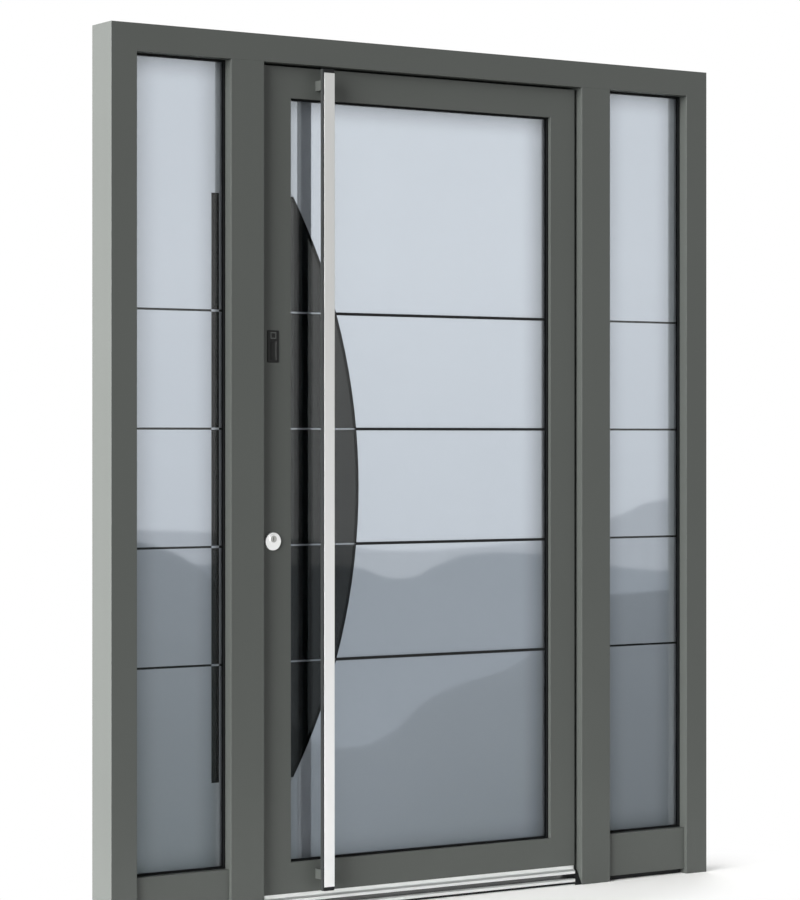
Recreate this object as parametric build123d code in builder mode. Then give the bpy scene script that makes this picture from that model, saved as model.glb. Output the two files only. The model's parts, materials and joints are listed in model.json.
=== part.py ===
"""Entrance door with two fixed sidelights: frame, inward-opening glazed leaf, pull bar, lock and hinges.

Millimetres. X runs to the right as seen from outside, Y into the building, Z up.
The origin is on the ground, in the middle of the frame's width and depth.
"""
import os
from math import sqrt

from build123d import *

os.makedirs("parts", exist_ok=True)

# Driving sizes of the frame
frame_width = 1840.0
frame_height = 2200.0
frame_depth = 100.0
face_width = 70.0            # jambs, seen from outside
head_face = 68.2
mullion_width = 94.0
doorway_width = 986.0        # between the mullions
edge_round = 0.6             # rounded outer edges of the painted profiles

# Fixed glazing of the sidelights
sidelight_lip = 30.0         # painted reveal in front of the glass
rebate = 20.0                # height of the glass rebate behind the lip
rail_setback = 10.0          # bottom rail stands back from the frame face
rail_bottom = 13.0
rail_top = 126.0

# Leaf
leaf_setback = 20.0
gap_side = 10.0              # lock side needs it: the front corner swings out when the leaf turns
gap_top = 6.0
leaf_face = 80.0             # visible width of the stiles
rail_face = 78.0             # visible height of the rails
leaf_bottom = 50.0           # lower edge of the painted leaf face
leaf_lip = 9.7               # painted reveal in front of the leaf glass
core_back = frame_depth + 5.0   # the overlap clears the inside of the frame by 5
leaf_back = core_back + 7.0
overlap = 19.0               # inside overlap past the edge of the leaf

# Glass: outer pane, patterned pane and inner pane, with two spacers
outer_glass_front = 36.0     # from the face of the frame
outer_glass = 6.0
pattern_front = 50.0
pattern_glass = 4.0
inner_glass_front = 66.0
inner_glass = 6.0
glass_bite = 15.0            # glass edge inside the rebate
satin_thick = 0.5            # frosted layers behind the outer pane and behind the patterned pane
satin_gap = 0.3
bead_seal = 3.0
spacer_edge = 3.0            # spacer stands in from the edge of the glass
sidelight_seal_lip = 4.2     # black seal seen inside the lip
leaf_seal_lip = 4.0
seal_grip = 10.0             # seal behind the lip
bead_joint = 0.5

# Pattern on the glass
line_height = 7.0
light_line = 5.5             # lines of the sidelights
segment_line = 4.2           # frosted lines across the clear segment
line_pitch = 293.0
line_lowest = 631.0
line_count = 4
segment_middle = 1070.5      # height of the middle of the clear segment
segment_rise = 214.5
segment_chord = 1529.0
band_width = 22.2            # clear band beside the left mullion
band_from_edge = 11.5
band_height = 1463.0

# Threshold and the sill profile under the leaf
threshold_height = 17.0
threshold_base = 8.5
threshold_inset = 4.0
threshold_front = 12.0       # depth of the aluminium front half
threshold_cover = 64.0       # dark thermal break between the two aluminium halves
threshold_rear_rise = 3.0
threshold_edge = 1.5
threshold_lip = 2.2          # bright foot strip on the ground
threshold_groove = 3.0       # groove above that strip
threshold_foot = 12.0
ramp_length = 8.0
ramp_drop = 4.0
end_block = 20.0
block_proud = 2.0            # end block stands before the threshold
block_toe = 3.0
wedge_thick = 4.0            # dark wedge of the end block on the mullion
wedge_top = 38.0
wedge_lean = 24.0
wedge_depth = 60.0
sill_bottom = 28.8
sill_nose = 7.0
sill_lip = 9.0
nose_height = 7.0
sill_inset = 3.0

# Pull bar
bar_width = 31.0
bar_core = 10.0              # grey core behind
bar_joint = 6.0              # dark joint between core and plate
bar_joint_inset = 0.5
bar_plate = 1.0              # bright front plate
bar_standoff = 28.0
bar_from_glass = 86.0        # middle of the bar from the edge of the glass
bar_foot = 4.5               # above the lower edge of the leaf
bar_tip = 3.3                # below the upper edge of the leaf
plate_short = 10.0           # bright plate ends before the core
plate_edge = 0.2
standoff_height = 25.0
standoff_width = 28.0
standoff_from_end = 40.0

# Lock, reader and lever
lock_backset = 25.3          # from the edge of the leaf
lock_plane = 48.0            # middle of the lock's edge plates, from the face of the frame
rose_z = 935.4
rose_diameter = 45.6
rose_thick = 6.0
rose_round = 2.0
rose_skin = 3.0              # metal in front of the cylinder's body
boss_diameter = 24.0         # turning disc round the plug
boss_thick = 2.0
boss_edge = 0.8
plug_recess = 0.4
key_slot = (2.4, 9.0, 10.0)  # width, height, depth
inside_rose = 50.0
inside_rose_thick = 8.0
inside_rose_edge = 1.5
cylinder_round = 17.0
cylinder_stem = 10.0
cylinder_total = 33.0
cylinder_proud = 3.0
cylinder_rise = 6.0          # barrel above the middle of the rose
fit_clearance = 0.3
lever_above_cylinder = 92.0
lever_length = 135.0
lever_reach = 52.0
lever_diameter = 19.0
lever_bend = 14.0
lever_end = 3.0
reader_backset = 27.7
reader_width = 32.5
reader_height = 80.0
reader_z = 1423.0
reader_proud = 2.0
reader_depth = 9.0           # let into the stile
reader_corner = 2.0
reader_edge = 0.6
window_size = 17.0
window_bar = 3.0             # width of the window's frame
window_relief = 0.5
window_drop = 12.5           # from the reader's top edge to the middle of its window
finger_radius = 12.0         # finger hollow under the window
finger_depth = 3.5
finger_length = 46.0
finger_from_bottom = 7.0
faceplate_width = 24.0
faceplate_height = 280.0
plate_thick = 3.0
latch_slot = (40.0, 13.0)
bolt_slot = (40.0, 13.0)
latch_up = 70.0
bolt_down = 15.0
screw_radius = 3.0
screw_from_end = 12.0

# Hinges
hinge_out = 21.0             # axis past the mullion's edge
hinge_in = 18.0              # axis past the inside of the frame
knuckle_radius = 10.0
knuckle_height = 42.0
knuckle_gap = 1.0
pin_diameter = 8.0
bore_clearance = 0.2
hinge_plate = 6.0
hinge_plate_width = 40.0
hinge_plate_gap = 2.0        # frame plate from the knuckle
hinge_web = 14.0
hinge_reach = 30.0           # leaf plate past the edge of the leaf's core
hinge_from_end = 240.0       # outer hinges from the ends of the leaf
pin_head = 3.0

# Seal and packers of the frame
seal_groove = 4.0
seal_width = 8.0
seal_proud = 0.8
seal_plane = 66.0            # middle of the seal, from the face of the frame
seal_start = 10.0            # above the threshold
packer_setback = 26.0
packer_back = 6.0

# Derived places
face_y = -frame_depth / 2
inside_y = frame_depth / 2
half_door = doorway_width / 2
mullion_out = half_door + mullion_width
light_out = frame_width / 2 - face_width
light_width = light_out - mullion_out
light_x = (light_out + mullion_out) / 2
head_z = frame_height - head_face
light_height = head_z - rail_top
light_z = (head_z + rail_top) / 2
lip_y = face_y + sidelight_lip
rebate_depth = frame_depth - sidelight_lip
rebate_z = (rail_top - rebate + head_z + rebate) / 2
rebate_height = light_height + 2 * rebate

leaf_y = face_y + leaf_setback
leaf_lip_y = leaf_y + leaf_lip
core_y = face_y + core_back
leaf_in_y = face_y + leaf_back
leaf_edge = half_door - gap_side
leaf_top = head_z - gap_top
pane_edge = leaf_edge - leaf_face
pane_low = leaf_bottom + rail_face
pane_high = leaf_top - rail_face
pane_z = (pane_low + pane_high) / 2
pane_height = pane_high - pane_low

outer_back = face_y + outer_glass_front + outer_glass
pattern_y = face_y + pattern_front
pattern_back = pattern_y + pattern_glass
inner_y = face_y + inner_glass_front
inner_back = inner_y + inner_glass
bead_y = inner_back + bead_seal

lock_x = -leaf_edge + lock_backset
reader_x = -leaf_edge + reader_backset
bar_x = -pane_edge + bar_from_glass
bar_bottom = leaf_bottom + bar_foot
bar_top = leaf_top - bar_tip
bar_z = (bar_bottom + bar_top) / 2
strike_y = face_y + lock_plane
seal_y = face_y + seal_plane
segment_radius = (segment_chord**2 / 4 + segment_rise**2) / (2 * segment_rise)
segment_x = -pane_edge + segment_rise - segment_radius
cylinder_z = rose_z + cylinder_rise
stem_height = cylinder_total - cylinder_round / 2
window_inside = window_size - 2 * window_bar
line_z = [line_lowest + i * line_pitch for i in range(line_count)]
lever_z = cylinder_z + lever_above_cylinder
hinge_x = half_door + hinge_out
hinge_y = inside_y + hinge_in
hinge_levels = (leaf_bottom + hinge_from_end, (leaf_bottom + leaf_top) / 2, leaf_top - hinge_from_end)


def facing(y):
    """Plane at depth y with X to the right and Z up, looking outwards."""
    return Plane(origin=(0, y, 0), x_dir=(1, 0, 0), z_dir=(0, -1, 0))


def section(x):
    """Plane across the door at x, with Y to the right and Z up."""
    return Plane(origin=(x, 0, 0), x_dir=(0, 1, 0), z_dir=(1, 0, 0))


# Mitre planes through the corners of the frame and of the leaf
frame_mitre = Plane(origin=(-frame_width / 2, 0, frame_height), z_dir=(head_face, 0, face_width))
top_mitre = Plane(origin=(-pane_edge, 0, pane_high), z_dir=(rail_face, 0, leaf_face))
low_mitre = Plane(origin=(-pane_edge, 0, pane_low), z_dir=(-rail_face, 0, leaf_face))

# Left jamb: full section with the glass rebate behind the lip, mitred under the head
with BuildPart() as left_jamb:
    with BuildSketch() as jamb_section:
        with Locations((-frame_width / 2 + face_width / 2, 0)):
            Rectangle(face_width, frame_depth)
        fillet(jamb_section.vertices().group_by(Axis.Y)[0], edge_round)
    extrude(amount=frame_height)
    with Locations((-light_out - rebate / 2, lip_y + rebate_depth / 2, rebate_z)):
        Box(rebate, rebate_depth, rebate_height, mode=Mode.SUBTRACT)
    split(bisect_by=frame_mitre, keep=Keep.BOTTOM)
left_jamb.part.label = "left_jamb"
export_step(left_jamb.part, "parts/left_jamb.step")

with BuildPart() as right_jamb:
    mirror(left_jamb.part, about=Plane.YZ)
right_jamb.part.label = "right_jamb"
export_step(right_jamb.part, "parts/right_jamb.step")

# Head: mitred at both ends, rebated over each sidelight, grooved over the leaf
with BuildPart() as head:
    with BuildSketch(section(0)) as head_section:
        with Locations((0, frame_height - head_face / 2)):
            Rectangle(frame_depth, head_face)
        fillet(head_section.vertices().group_by(Axis.Y)[0], edge_round)
    extrude(amount=frame_width / 2, both=True)
    rebate_y = lip_y + rebate_depth / 2
    with Locations((-light_x, rebate_y, rebate_z), (light_x, rebate_y, rebate_z)):
        Box(light_width + 2 * rebate, rebate_depth, rebate_height, mode=Mode.SUBTRACT)
    with Locations((0, seal_y, head_z + seal_groove / 2)):
        Box(doorway_width + 2 * seal_groove, seal_width, seal_groove, mode=Mode.SUBTRACT)
    split(bisect_by=frame_mitre, keep=Keep.TOP)
    right_mitre = Plane(origin=(frame_width / 2, 0, frame_height), z_dir=(-head_face, 0, face_width))
    split(bisect_by=right_mitre, keep=Keep.TOP)
head.part.label = "head"
export_step(head.part, "parts/head.step")

# Mullions: glass rebate on the sidelight side, seal groove on the door side
with BuildPart() as plain_mullion:
    with BuildSketch() as mullion_section:
        with Locations((-half_door - mullion_width / 2, 0)):
            Rectangle(mullion_width, frame_depth)
        fillet(mullion_section.vertices().group_by(Axis.Y)[0], edge_round)
    extrude(amount=head_z)
    with Locations((-mullion_out + rebate / 2, lip_y + rebate_depth / 2, rebate_z)):
        Box(rebate, rebate_depth, rebate_height, mode=Mode.SUBTRACT)
    with Locations((-half_door - seal_groove / 2, seal_y, frame_height / 2)):
        Box(seal_groove, seal_width, frame_height, mode=Mode.SUBTRACT)

with BuildPart() as left_mullion:
    add(plain_mullion.part)
    with Locations((-half_door - plate_thick / 2, strike_y, cylinder_z)):
        Box(plate_thick, faceplate_width, faceplate_height, mode=Mode.SUBTRACT)
left_mullion.part.label = "left_mullion"
export_step(left_mullion.part, "parts/left_mullion.step")

with BuildPart() as right_mullion:
    mirror(plain_mullion.part, about=Plane.YZ)
right_mullion.part.label = "right_mullion"
export_step(right_mullion.part, "parts/right_mullion.step")

# Strike plate let into the left mullion, with openings for latch and bolt
with BuildPart() as strike_plate:
    with BuildSketch(Plane(origin=(-half_door - plate_thick, strike_y, cylinder_z),
                           x_dir=(0, 1, 0), z_dir=(1, 0, 0))):
        Rectangle(faceplate_width, faceplate_height)
        with Locations((0, latch_up)):
            SlotOverall(*latch_slot, rotation=90, mode=Mode.SUBTRACT)
        with Locations((0, -bolt_down)):
            SlotOverall(*bolt_slot, rotation=90, mode=Mode.SUBTRACT)
        with GridLocations(0, faceplate_height - 2 * screw_from_end, 1, 2):
            Circle(screw_radius, mode=Mode.SUBTRACT)
    extrude(amount=plate_thick)
strike_plate.part.label = "strike_plate"
export_step(strike_plate.part, "parts/strike_plate.step")

# Bottom rails of the sidelights, set back, with a glass lip on top
with BuildPart() as left_bottom_rail:
    with BuildSketch(section(-light_out)) as rail_section:
        with BuildLine():
            Polyline(
                (face_y + rail_setback, rail_bottom), (inside_y, rail_bottom), (inside_y, rail_top - rebate),
                (lip_y, rail_top - rebate), (lip_y, rail_top), (face_y + rail_setback, rail_top), close=True,
            )
        make_face()
        fillet(rail_section.vertices().group_by(Axis.X)[0], edge_round)
    extrude(amount=light_width)
left_bottom_rail.part.label = "left_bottom_rail"
export_step(left_bottom_rail.part, "parts/left_bottom_rail.step")

with BuildPart() as right_bottom_rail:
    mirror(left_bottom_rail.part, about=Plane.YZ)
right_bottom_rail.part.label = "right_bottom_rail"
export_step(right_bottom_rail.part, "parts/right_bottom_rail.step")

# Dark packers that carry the bottom rails off the ground
packer_depth = frame_depth - packer_setback - packer_back
with BuildPart() as base_packers:
    with Locations((-light_x, face_y + packer_setback + packer_depth / 2, rail_bottom / 2),
                   (light_x, face_y + packer_setback + packer_depth / 2, rail_bottom / 2)):
        Box(light_width, packer_depth, rail_bottom)
base_packers.part.label = "base_packers"
export_step(base_packers.part, "parts/base_packers.step")

# Threshold: two aluminium halves and a foot strip on a dark core that breaks the cold path between them
threshold_width = doorway_width - 2 * end_block
front_y = face_y + threshold_inset
rear_y = inside_y - threshold_inset
cover_y = front_y + threshold_front
ramp_y = cover_y + threshold_cover
with BuildPart() as threshold_rails:
    with BuildSketch(section(-threshold_width / 2)):
        with BuildLine():
            Polyline(
                (front_y, threshold_base), (cover_y, threshold_base), (cover_y, threshold_height),
                (front_y + threshold_edge, threshold_height), (front_y, threshold_height - threshold_edge),
                close=True,
            )
        make_face()
        with Locations((front_y + threshold_foot / 2, threshold_lip / 2)):
            Rectangle(threshold_foot, threshold_lip)
        with BuildLine():
            Polyline(
                (ramp_y, threshold_base), (rear_y, threshold_base), (rear_y, threshold_height - ramp_drop),
                (rear_y - ramp_length, threshold_height + threshold_rear_rise),
                (ramp_y, threshold_height + threshold_rear_rise), close=True,
            )
        make_face()
    extrude(amount=threshold_width)
threshold_rails.part.label = "threshold_rails"
export_step(threshold_rails.part, "parts/threshold_rails.step")

with BuildPart() as threshold_core:
    with BuildSketch(section(-threshold_width / 2)):
        with BuildLine():
            Polyline(
                (front_y + threshold_foot, 0), (rear_y, 0), (rear_y, threshold_base),
                (ramp_y, threshold_base),
                (ramp_y, threshold_height), (cover_y, threshold_height), (cover_y, threshold_base),
                (front_y + threshold_groove, threshold_base), (front_y + threshold_groove, threshold_lip),
                (front_y + threshold_foot, threshold_lip), close=True,
            )
        make_face()
    extrude(amount=threshold_width)
threshold_core.part.label = "threshold_core"
export_step(threshold_core.part, "parts/threshold_core.step")

# Dark end blocks of the threshold, each with a wedge that leans against the mullion
block_y = front_y - block_proud
with BuildPart() as threshold_end_blocks:
    for wall_x, way in ((-half_door, 1), (half_door, -1)):
        with BuildSketch(section(wall_x)):
            with BuildLine():
                Polyline(
                    (block_y, 0), (rear_y, 0), (rear_y, threshold_height - ramp_drop),
                    (rear_y - ramp_length, threshold_height), (front_y + ramp_length, threshold_height),
                    (block_y, block_toe), close=True,
                )
            make_face()
        extrude(amount=way * end_block)
        with BuildSketch(section(wall_x)):
            with BuildLine():
                Polyline(
                    (block_y, block_toe), (face_y + wedge_lean, wedge_top), (face_y + wedge_depth, wedge_top),
                    (face_y + wedge_depth, block_toe), close=True,
                )
            make_face()
        extrude(amount=way * wedge_thick)
threshold_end_blocks.part.label = "threshold_end_blocks"
export_step(threshold_end_blocks.part, "parts/threshold_end_blocks.step")

# Rebate seal round the doorway, in the grooves of the mullions and the head
with BuildPart() as frame_seal:
    with BuildSketch(facing(seal_y + seal_width / 2)):
        seal_low = threshold_height + seal_start
        seal_rise = head_z + seal_groove - seal_low
        with Locations((0, seal_low + seal_rise / 2)):
            Rectangle(doorway_width + 2 * seal_groove, seal_rise)
        clear_rise = seal_rise - seal_groove - seal_proud
        with Locations((0, seal_low + clear_rise / 2)):
            Rectangle(doorway_width - 2 * seal_proud, clear_rise, mode=Mode.SUBTRACT)
    extrude(amount=seal_width)
frame_seal.part.label = "frame_seal"
export_step(frame_seal.part, "parts/frame_seal.step")

# Sidelight glass: three panes, spacers, seals and the beads on the inside
light_pane_w = light_width + 2 * glass_bite
light_pane_h = light_height + 2 * glass_bite
both_lights = ((-light_x, light_z), (light_x, light_z))

with BuildPart() as sidelight_outer_panes:
    with BuildSketch(facing(outer_back)):
        with Locations(*both_lights):
            Rectangle(light_pane_w, light_pane_h)
    extrude(amount=outer_glass)
sidelight_outer_panes.part.label = "sidelight_outer_panes"
export_step(sidelight_outer_panes.part, "parts/sidelight_outer_panes.step")

with BuildPart() as sidelight_pattern_panes:
    with BuildSketch(facing(pattern_back)):
        with Locations(*both_lights):
            Rectangle(light_pane_w, light_pane_h)
    extrude(amount=pattern_glass)
sidelight_pattern_panes.part.label = "sidelight_pattern_panes"
export_step(sidelight_pattern_panes.part, "parts/sidelight_pattern_panes.step")

with BuildPart() as sidelight_inner_panes:
    with BuildSketch(facing(inner_back)):
        with Locations(*both_lights):
            Rectangle(light_pane_w, light_pane_h)
    extrude(amount=inner_glass)
sidelight_inner_panes.part.label = "sidelight_inner_panes"
export_step(sidelight_inner_panes.part, "parts/sidelight_inner_panes.step")

light_clear_w = light_width - 2 * sidelight_seal_lip
light_clear_h = light_height - 2 * sidelight_seal_lip
with BuildPart() as sidelight_spacers:
    for back, depth in ((pattern_y, pattern_y - outer_back), (inner_y, inner_y - pattern_back)):
        with BuildSketch(facing(back)):
            with Locations(*both_lights):
                Rectangle(light_pane_w - 2 * spacer_edge, light_pane_h - 2 * spacer_edge)
                Rectangle(light_clear_w, light_clear_h, mode=Mode.SUBTRACT)
        extrude(amount=depth)
sidelight_spacers.part.label = "sidelight_spacers"
export_step(sidelight_spacers.part, "parts/sidelight_spacers.step")

with BuildPart() as sidelight_seals:
    for back, depth in ((outer_back - outer_glass, outer_back - outer_glass - lip_y), (bead_y, bead_seal)):
        with BuildSketch(facing(back)):
            with Locations(*both_lights):
                Rectangle(light_width + 2 * seal_grip, light_height + 2 * seal_grip)
                Rectangle(light_clear_w, light_clear_h, mode=Mode.SUBTRACT)
        extrude(amount=depth)
sidelight_seals.part.label = "sidelight_seals"
export_step(sidelight_seals.part, "parts/sidelight_seals.step")

with BuildPart() as sidelight_beads:
    with BuildSketch(facing(inside_y)):
        for x in (-light_x, light_x):
            with Locations((x, light_z)):
                with GridLocations(light_width + rebate, 0, 2, 1):
                    Rectangle(rebate, light_height + 2 * rebate)
                with GridLocations(0, light_height + rebate, 1, 2):
                    Rectangle(light_width - 2 * bead_joint, rebate)
    extrude(amount=inside_y - bead_y)
sidelight_beads.part.label = "sidelight_beads"
export_step(sidelight_beads.part, "parts/sidelight_beads.step")

# Frosted layers of the sidelights, behind the outer pane and behind the patterned pane: clear lines across
# both lights, a clear band beside the left mullion with the lines frosted where they cross it
satin_backs = (outer_back + satin_gap + satin_thick, pattern_back + satin_thick)
band_x = -mullion_out - band_from_edge - band_width / 2
with BuildPart() as sidelight_satin:
    for back in satin_backs:
        with BuildSketch(facing(back)):
            with Locations(*both_lights):
                Rectangle(light_clear_w - 2 * fit_clearance, light_clear_h - 2 * fit_clearance)
            with Locations((band_x, segment_middle)):
                Rectangle(band_width, band_height, mode=Mode.SUBTRACT)
            with Locations(*[(0, z) for z in line_z]):
                Rectangle(frame_width, light_line, mode=Mode.SUBTRACT)
            with Locations(*[(band_x, z) for z in line_z]):
                Rectangle(band_width - 2 * fit_clearance, light_line)
        extrude(amount=satin_thick)
sidelight_satin.part.label = "sidelight_satin"
export_step(sidelight_satin.part, "parts/sidelight_satin.step")

# Leaf stiles: face, glass rebate and the overlap that closes against the inside of the frame
with BuildPart() as plain_stile:
    with BuildSketch() as stile_section:
        with BuildLine():
            Polyline(
                (-pane_edge, leaf_y), (-leaf_edge, leaf_y), (-leaf_edge, core_y),
                (-leaf_edge - overlap, core_y), (-leaf_edge - overlap, leaf_in_y),
                (-pane_edge - rebate, leaf_in_y), (-pane_edge - rebate, leaf_lip_y),
                (-pane_edge, leaf_lip_y), close=True,
            )
        make_face()
        fillet(stile_section.vertices().group_by(Axis.Y)[0], edge_round)
    extrude(amount=leaf_top + overlap)
    split(bisect_by=top_mitre, keep=Keep.BOTTOM)
    split(bisect_by=low_mitre, keep=Keep.TOP)
    split(bisect_by=Plane(origin=(0, 0, leaf_bottom)), keep=Keep.TOP)

with BuildPart() as hinge_stile:
    mirror(plain_stile.part, about=Plane.YZ)
hinge_stile.part.label = "hinge_stile"
export_step(hinge_stile.part, "parts/hinge_stile.step")

# Lock stile: bored in the shape of the profile cylinder, cut for the faceplate and the finger reader
with BuildPart() as lock_stile:
    add(plain_stile.part)
    with BuildSketch(facing(leaf_in_y)):
        with Locations((lock_x, cylinder_z)):
            Circle(cylinder_round / 2 + fit_clearance)
            with Locations((0, -stem_height / 2)):
                Rectangle(cylinder_stem + 2 * fit_clearance, stem_height + 2 * fit_clearance)
    extrude(amount=leaf_in_y - leaf_y, mode=Mode.SUBTRACT)
    with Locations((-leaf_edge + plate_thick / 2, strike_y, cylinder_z)):
        Box(plate_thick, faceplate_width, faceplate_height, mode=Mode.SUBTRACT)
    with BuildSketch(facing(leaf_y + reader_depth)):
        with Locations((reader_x, reader_z)):
            RectangleRounded(
                reader_width + 2 * fit_clearance, reader_height + 2 * fit_clearance, reader_corner
            )
    extrude(amount=reader_depth, mode=Mode.SUBTRACT)
lock_stile.part.label = "lock_stile"
export_step(lock_stile.part, "parts/lock_stile.step")

# Leaf rails
with BuildPart() as top_rail:
    with BuildSketch(section(0)) as top_section:
        with BuildLine():
            Polyline(
                (leaf_y, pane_high), (leaf_y, leaf_top), (core_y, leaf_top), (core_y, leaf_top + overlap),
                (leaf_in_y, leaf_top + overlap), (leaf_in_y, pane_high + rebate),
                (leaf_lip_y, pane_high + rebate),
                (leaf_lip_y, pane_high), close=True,
            )
        make_face()
        fillet(top_section.vertices().group_by(Axis.X)[0], edge_round)
    extrude(amount=leaf_edge + overlap, both=True)
    split(bisect_by=top_mitre, keep=Keep.TOP)
    split(bisect_by=Plane(origin=(pane_edge, 0, pane_high), z_dir=(-rail_face, 0, leaf_face)), keep=Keep.TOP)
top_rail.part.label = "top_rail"
export_step(top_rail.part, "parts/top_rail.step")

with BuildPart() as bottom_rail:
    with BuildSketch(section(0)) as low_section:
        with BuildLine():
            Polyline(
                (leaf_y, pane_low), (leaf_y, leaf_bottom), (leaf_in_y, leaf_bottom),
                (leaf_in_y, pane_low - rebate),
                (leaf_lip_y, pane_low - rebate), (leaf_lip_y, pane_low), close=True,
            )
        make_face()
        fillet(low_section.vertices().group_by(Axis.X)[0], edge_round)
    extrude(amount=leaf_edge, both=True)
    split(bisect_by=low_mitre, keep=Keep.BOTTOM)
    split(bisect_by=Plane(origin=(pane_edge, 0, pane_low), z_dir=(rail_face, 0, leaf_face)), keep=Keep.BOTTOM)
bottom_rail.part.label = "bottom_rail"
export_step(bottom_rail.part, "parts/bottom_rail.step")

# Aluminium sill profile under the leaf, with a drip nose
with BuildPart() as leaf_sill:
    with BuildSketch(section(0)) as sill_section:
        with BuildLine():
            Polyline(
                (leaf_y, leaf_bottom), (leaf_y, leaf_bottom - sill_lip),
                (leaf_y - sill_nose, sill_bottom + nose_height),
                (leaf_y - sill_nose, sill_bottom), (core_y, sill_bottom), (core_y, leaf_bottom), close=True,
            )
        make_face()
    extrude(amount=leaf_edge - sill_inset, both=True)
leaf_sill.part.label = "leaf_sill"
export_step(leaf_sill.part, "parts/leaf_sill.step")

# Leaf glass
leaf_pane_w = 2 * (pane_edge + glass_bite)
leaf_pane_h = pane_height + 2 * glass_bite
leaf_clear_w = 2 * (pane_edge - leaf_seal_lip)
leaf_clear_h = pane_height - 2 * leaf_seal_lip

with BuildPart() as leaf_outer_pane:
    with BuildSketch(facing(outer_back)):
        with Locations((0, pane_z)):
            Rectangle(leaf_pane_w, leaf_pane_h)
    extrude(amount=outer_glass)
leaf_outer_pane.part.label = "leaf_outer_pane"
export_step(leaf_outer_pane.part, "parts/leaf_outer_pane.step")

with BuildPart() as leaf_pattern_pane:
    with BuildSketch(facing(pattern_back)):
        with Locations((0, pane_z)):
            Rectangle(leaf_pane_w, leaf_pane_h)
    extrude(amount=pattern_glass)
leaf_pattern_pane.part.label = "leaf_pattern_pane"
export_step(leaf_pattern_pane.part, "parts/leaf_pattern_pane.step")

with BuildPart() as leaf_inner_pane:
    with BuildSketch(facing(inner_back)):
        with Locations((0, pane_z)):
            Rectangle(leaf_pane_w, leaf_pane_h)
    extrude(amount=inner_glass)
leaf_inner_pane.part.label = "leaf_inner_pane"
export_step(leaf_inner_pane.part, "parts/leaf_inner_pane.step")

with BuildPart() as leaf_spacers:
    for back, depth in ((pattern_y, pattern_y - outer_back), (inner_y, inner_y - pattern_back)):
        with BuildSketch(facing(back)):
            with Locations((0, pane_z)):
                Rectangle(leaf_pane_w - 2 * spacer_edge, leaf_pane_h - 2 * spacer_edge)
                Rectangle(leaf_clear_w, leaf_clear_h, mode=Mode.SUBTRACT)
        extrude(amount=depth)
leaf_spacers.part.label = "leaf_spacers"
export_step(leaf_spacers.part, "parts/leaf_spacers.step")

with BuildPart() as leaf_seals:
    outer_face = outer_back - outer_glass
    for back, depth in ((outer_face, outer_face - leaf_lip_y), (bead_y, bead_seal)):
        with BuildSketch(facing(back)):
            with Locations((0, pane_z)):
                Rectangle(2 * (pane_edge + seal_grip), pane_height + 2 * seal_grip)
                Rectangle(leaf_clear_w, leaf_clear_h, mode=Mode.SUBTRACT)
        extrude(amount=depth)
leaf_seals.part.label = "leaf_seals"
export_step(leaf_seals.part, "parts/leaf_seals.step")

with BuildPart() as leaf_beads:
    with BuildSketch(facing(leaf_in_y)):
        with Locations((0, pane_z)):
            with GridLocations(2 * pane_edge + rebate, 0, 2, 1):
                Rectangle(rebate, pane_height + 2 * rebate)
            with GridLocations(0, pane_height + rebate, 1, 2):
                Rectangle(2 * pane_edge - 2 * bead_joint, rebate)
    extrude(amount=leaf_in_y - bead_y)
leaf_beads.part.label = "leaf_beads"
export_step(leaf_beads.part, "parts/leaf_beads.step")

# Clear segment of a circle on the lock side, cut off level with the ends of the sidelight's clear band
with BuildSketch() as clear_segment:
    with Locations((segment_x, segment_middle)):
        Circle(segment_radius)
    with Locations((0, segment_middle)):
        Rectangle(frame_width, band_height, mode=Mode.INTERSECT)

# Frosted layers of the leaf: clear segment, clear lines across the frosted field, and narrower frosted
# lines where they cross the clear segment
with BuildPart() as leaf_satin:
    for back in satin_backs:
        with BuildSketch(facing(back)):
            with Locations((0, pane_z)):
                Rectangle(leaf_clear_w - 2 * fit_clearance, leaf_clear_h - 2 * fit_clearance)
            add(clear_segment.sketch, mode=Mode.SUBTRACT)
            with Locations(*[(0, z) for z in line_z]):
                Rectangle(frame_width, line_height, mode=Mode.SUBTRACT)
            for z in line_z:
                reach = segment_x + sqrt(segment_radius**2 - (abs(z - segment_middle) + line_height / 2) ** 2)
                left = -pane_edge + leaf_seal_lip + fit_clearance
                with Locations(((left + reach - fit_clearance) / 2, z)):
                    Rectangle(reach - fit_clearance - left, segment_line)
        extrude(amount=satin_thick)
leaf_satin.part.label = "leaf_satin"
export_step(leaf_satin.part, "parts/leaf_satin.step")

# Pull bar: core, dark joint, bright plate on its front, two standoffs on the rails
bar_back = leaf_y - bar_standoff
with BuildPart() as pull_bar:
    with BuildSketch(Plane.XY.offset(bar_bottom)):
        with Locations((bar_x, bar_back - bar_core / 2)):
            Rectangle(bar_width, bar_core)
    extrude(amount=bar_top - bar_bottom)
pull_bar.part.label = "pull_bar"
export_step(pull_bar.part, "parts/pull_bar.step")

with BuildPart() as pull_bar_joint:
    with BuildSketch(facing(bar_back - bar_core)):
        with Locations((bar_x, bar_z)):
            Rectangle(bar_width - 2 * bar_joint_inset, bar_top - bar_bottom - 2 * bar_joint_inset)
    extrude(amount=bar_joint)
pull_bar_joint.part.label = "pull_bar_joint"
export_step(pull_bar_joint.part, "parts/pull_bar_joint.step")

with BuildPart() as pull_bar_plate:
    with BuildSketch(facing(bar_back - bar_core - bar_joint)):
        with Locations((bar_x, bar_z)):
            Rectangle(bar_width, bar_top - bar_bottom - 2 * plate_short)
    extrude(amount=bar_plate)
    chamfer(pull_bar_plate.faces().sort_by(Axis.Y)[0].edges(), plate_edge)
pull_bar_plate.part.label = "pull_bar_plate"
export_step(pull_bar_plate.part, "parts/pull_bar_plate.step")

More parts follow.
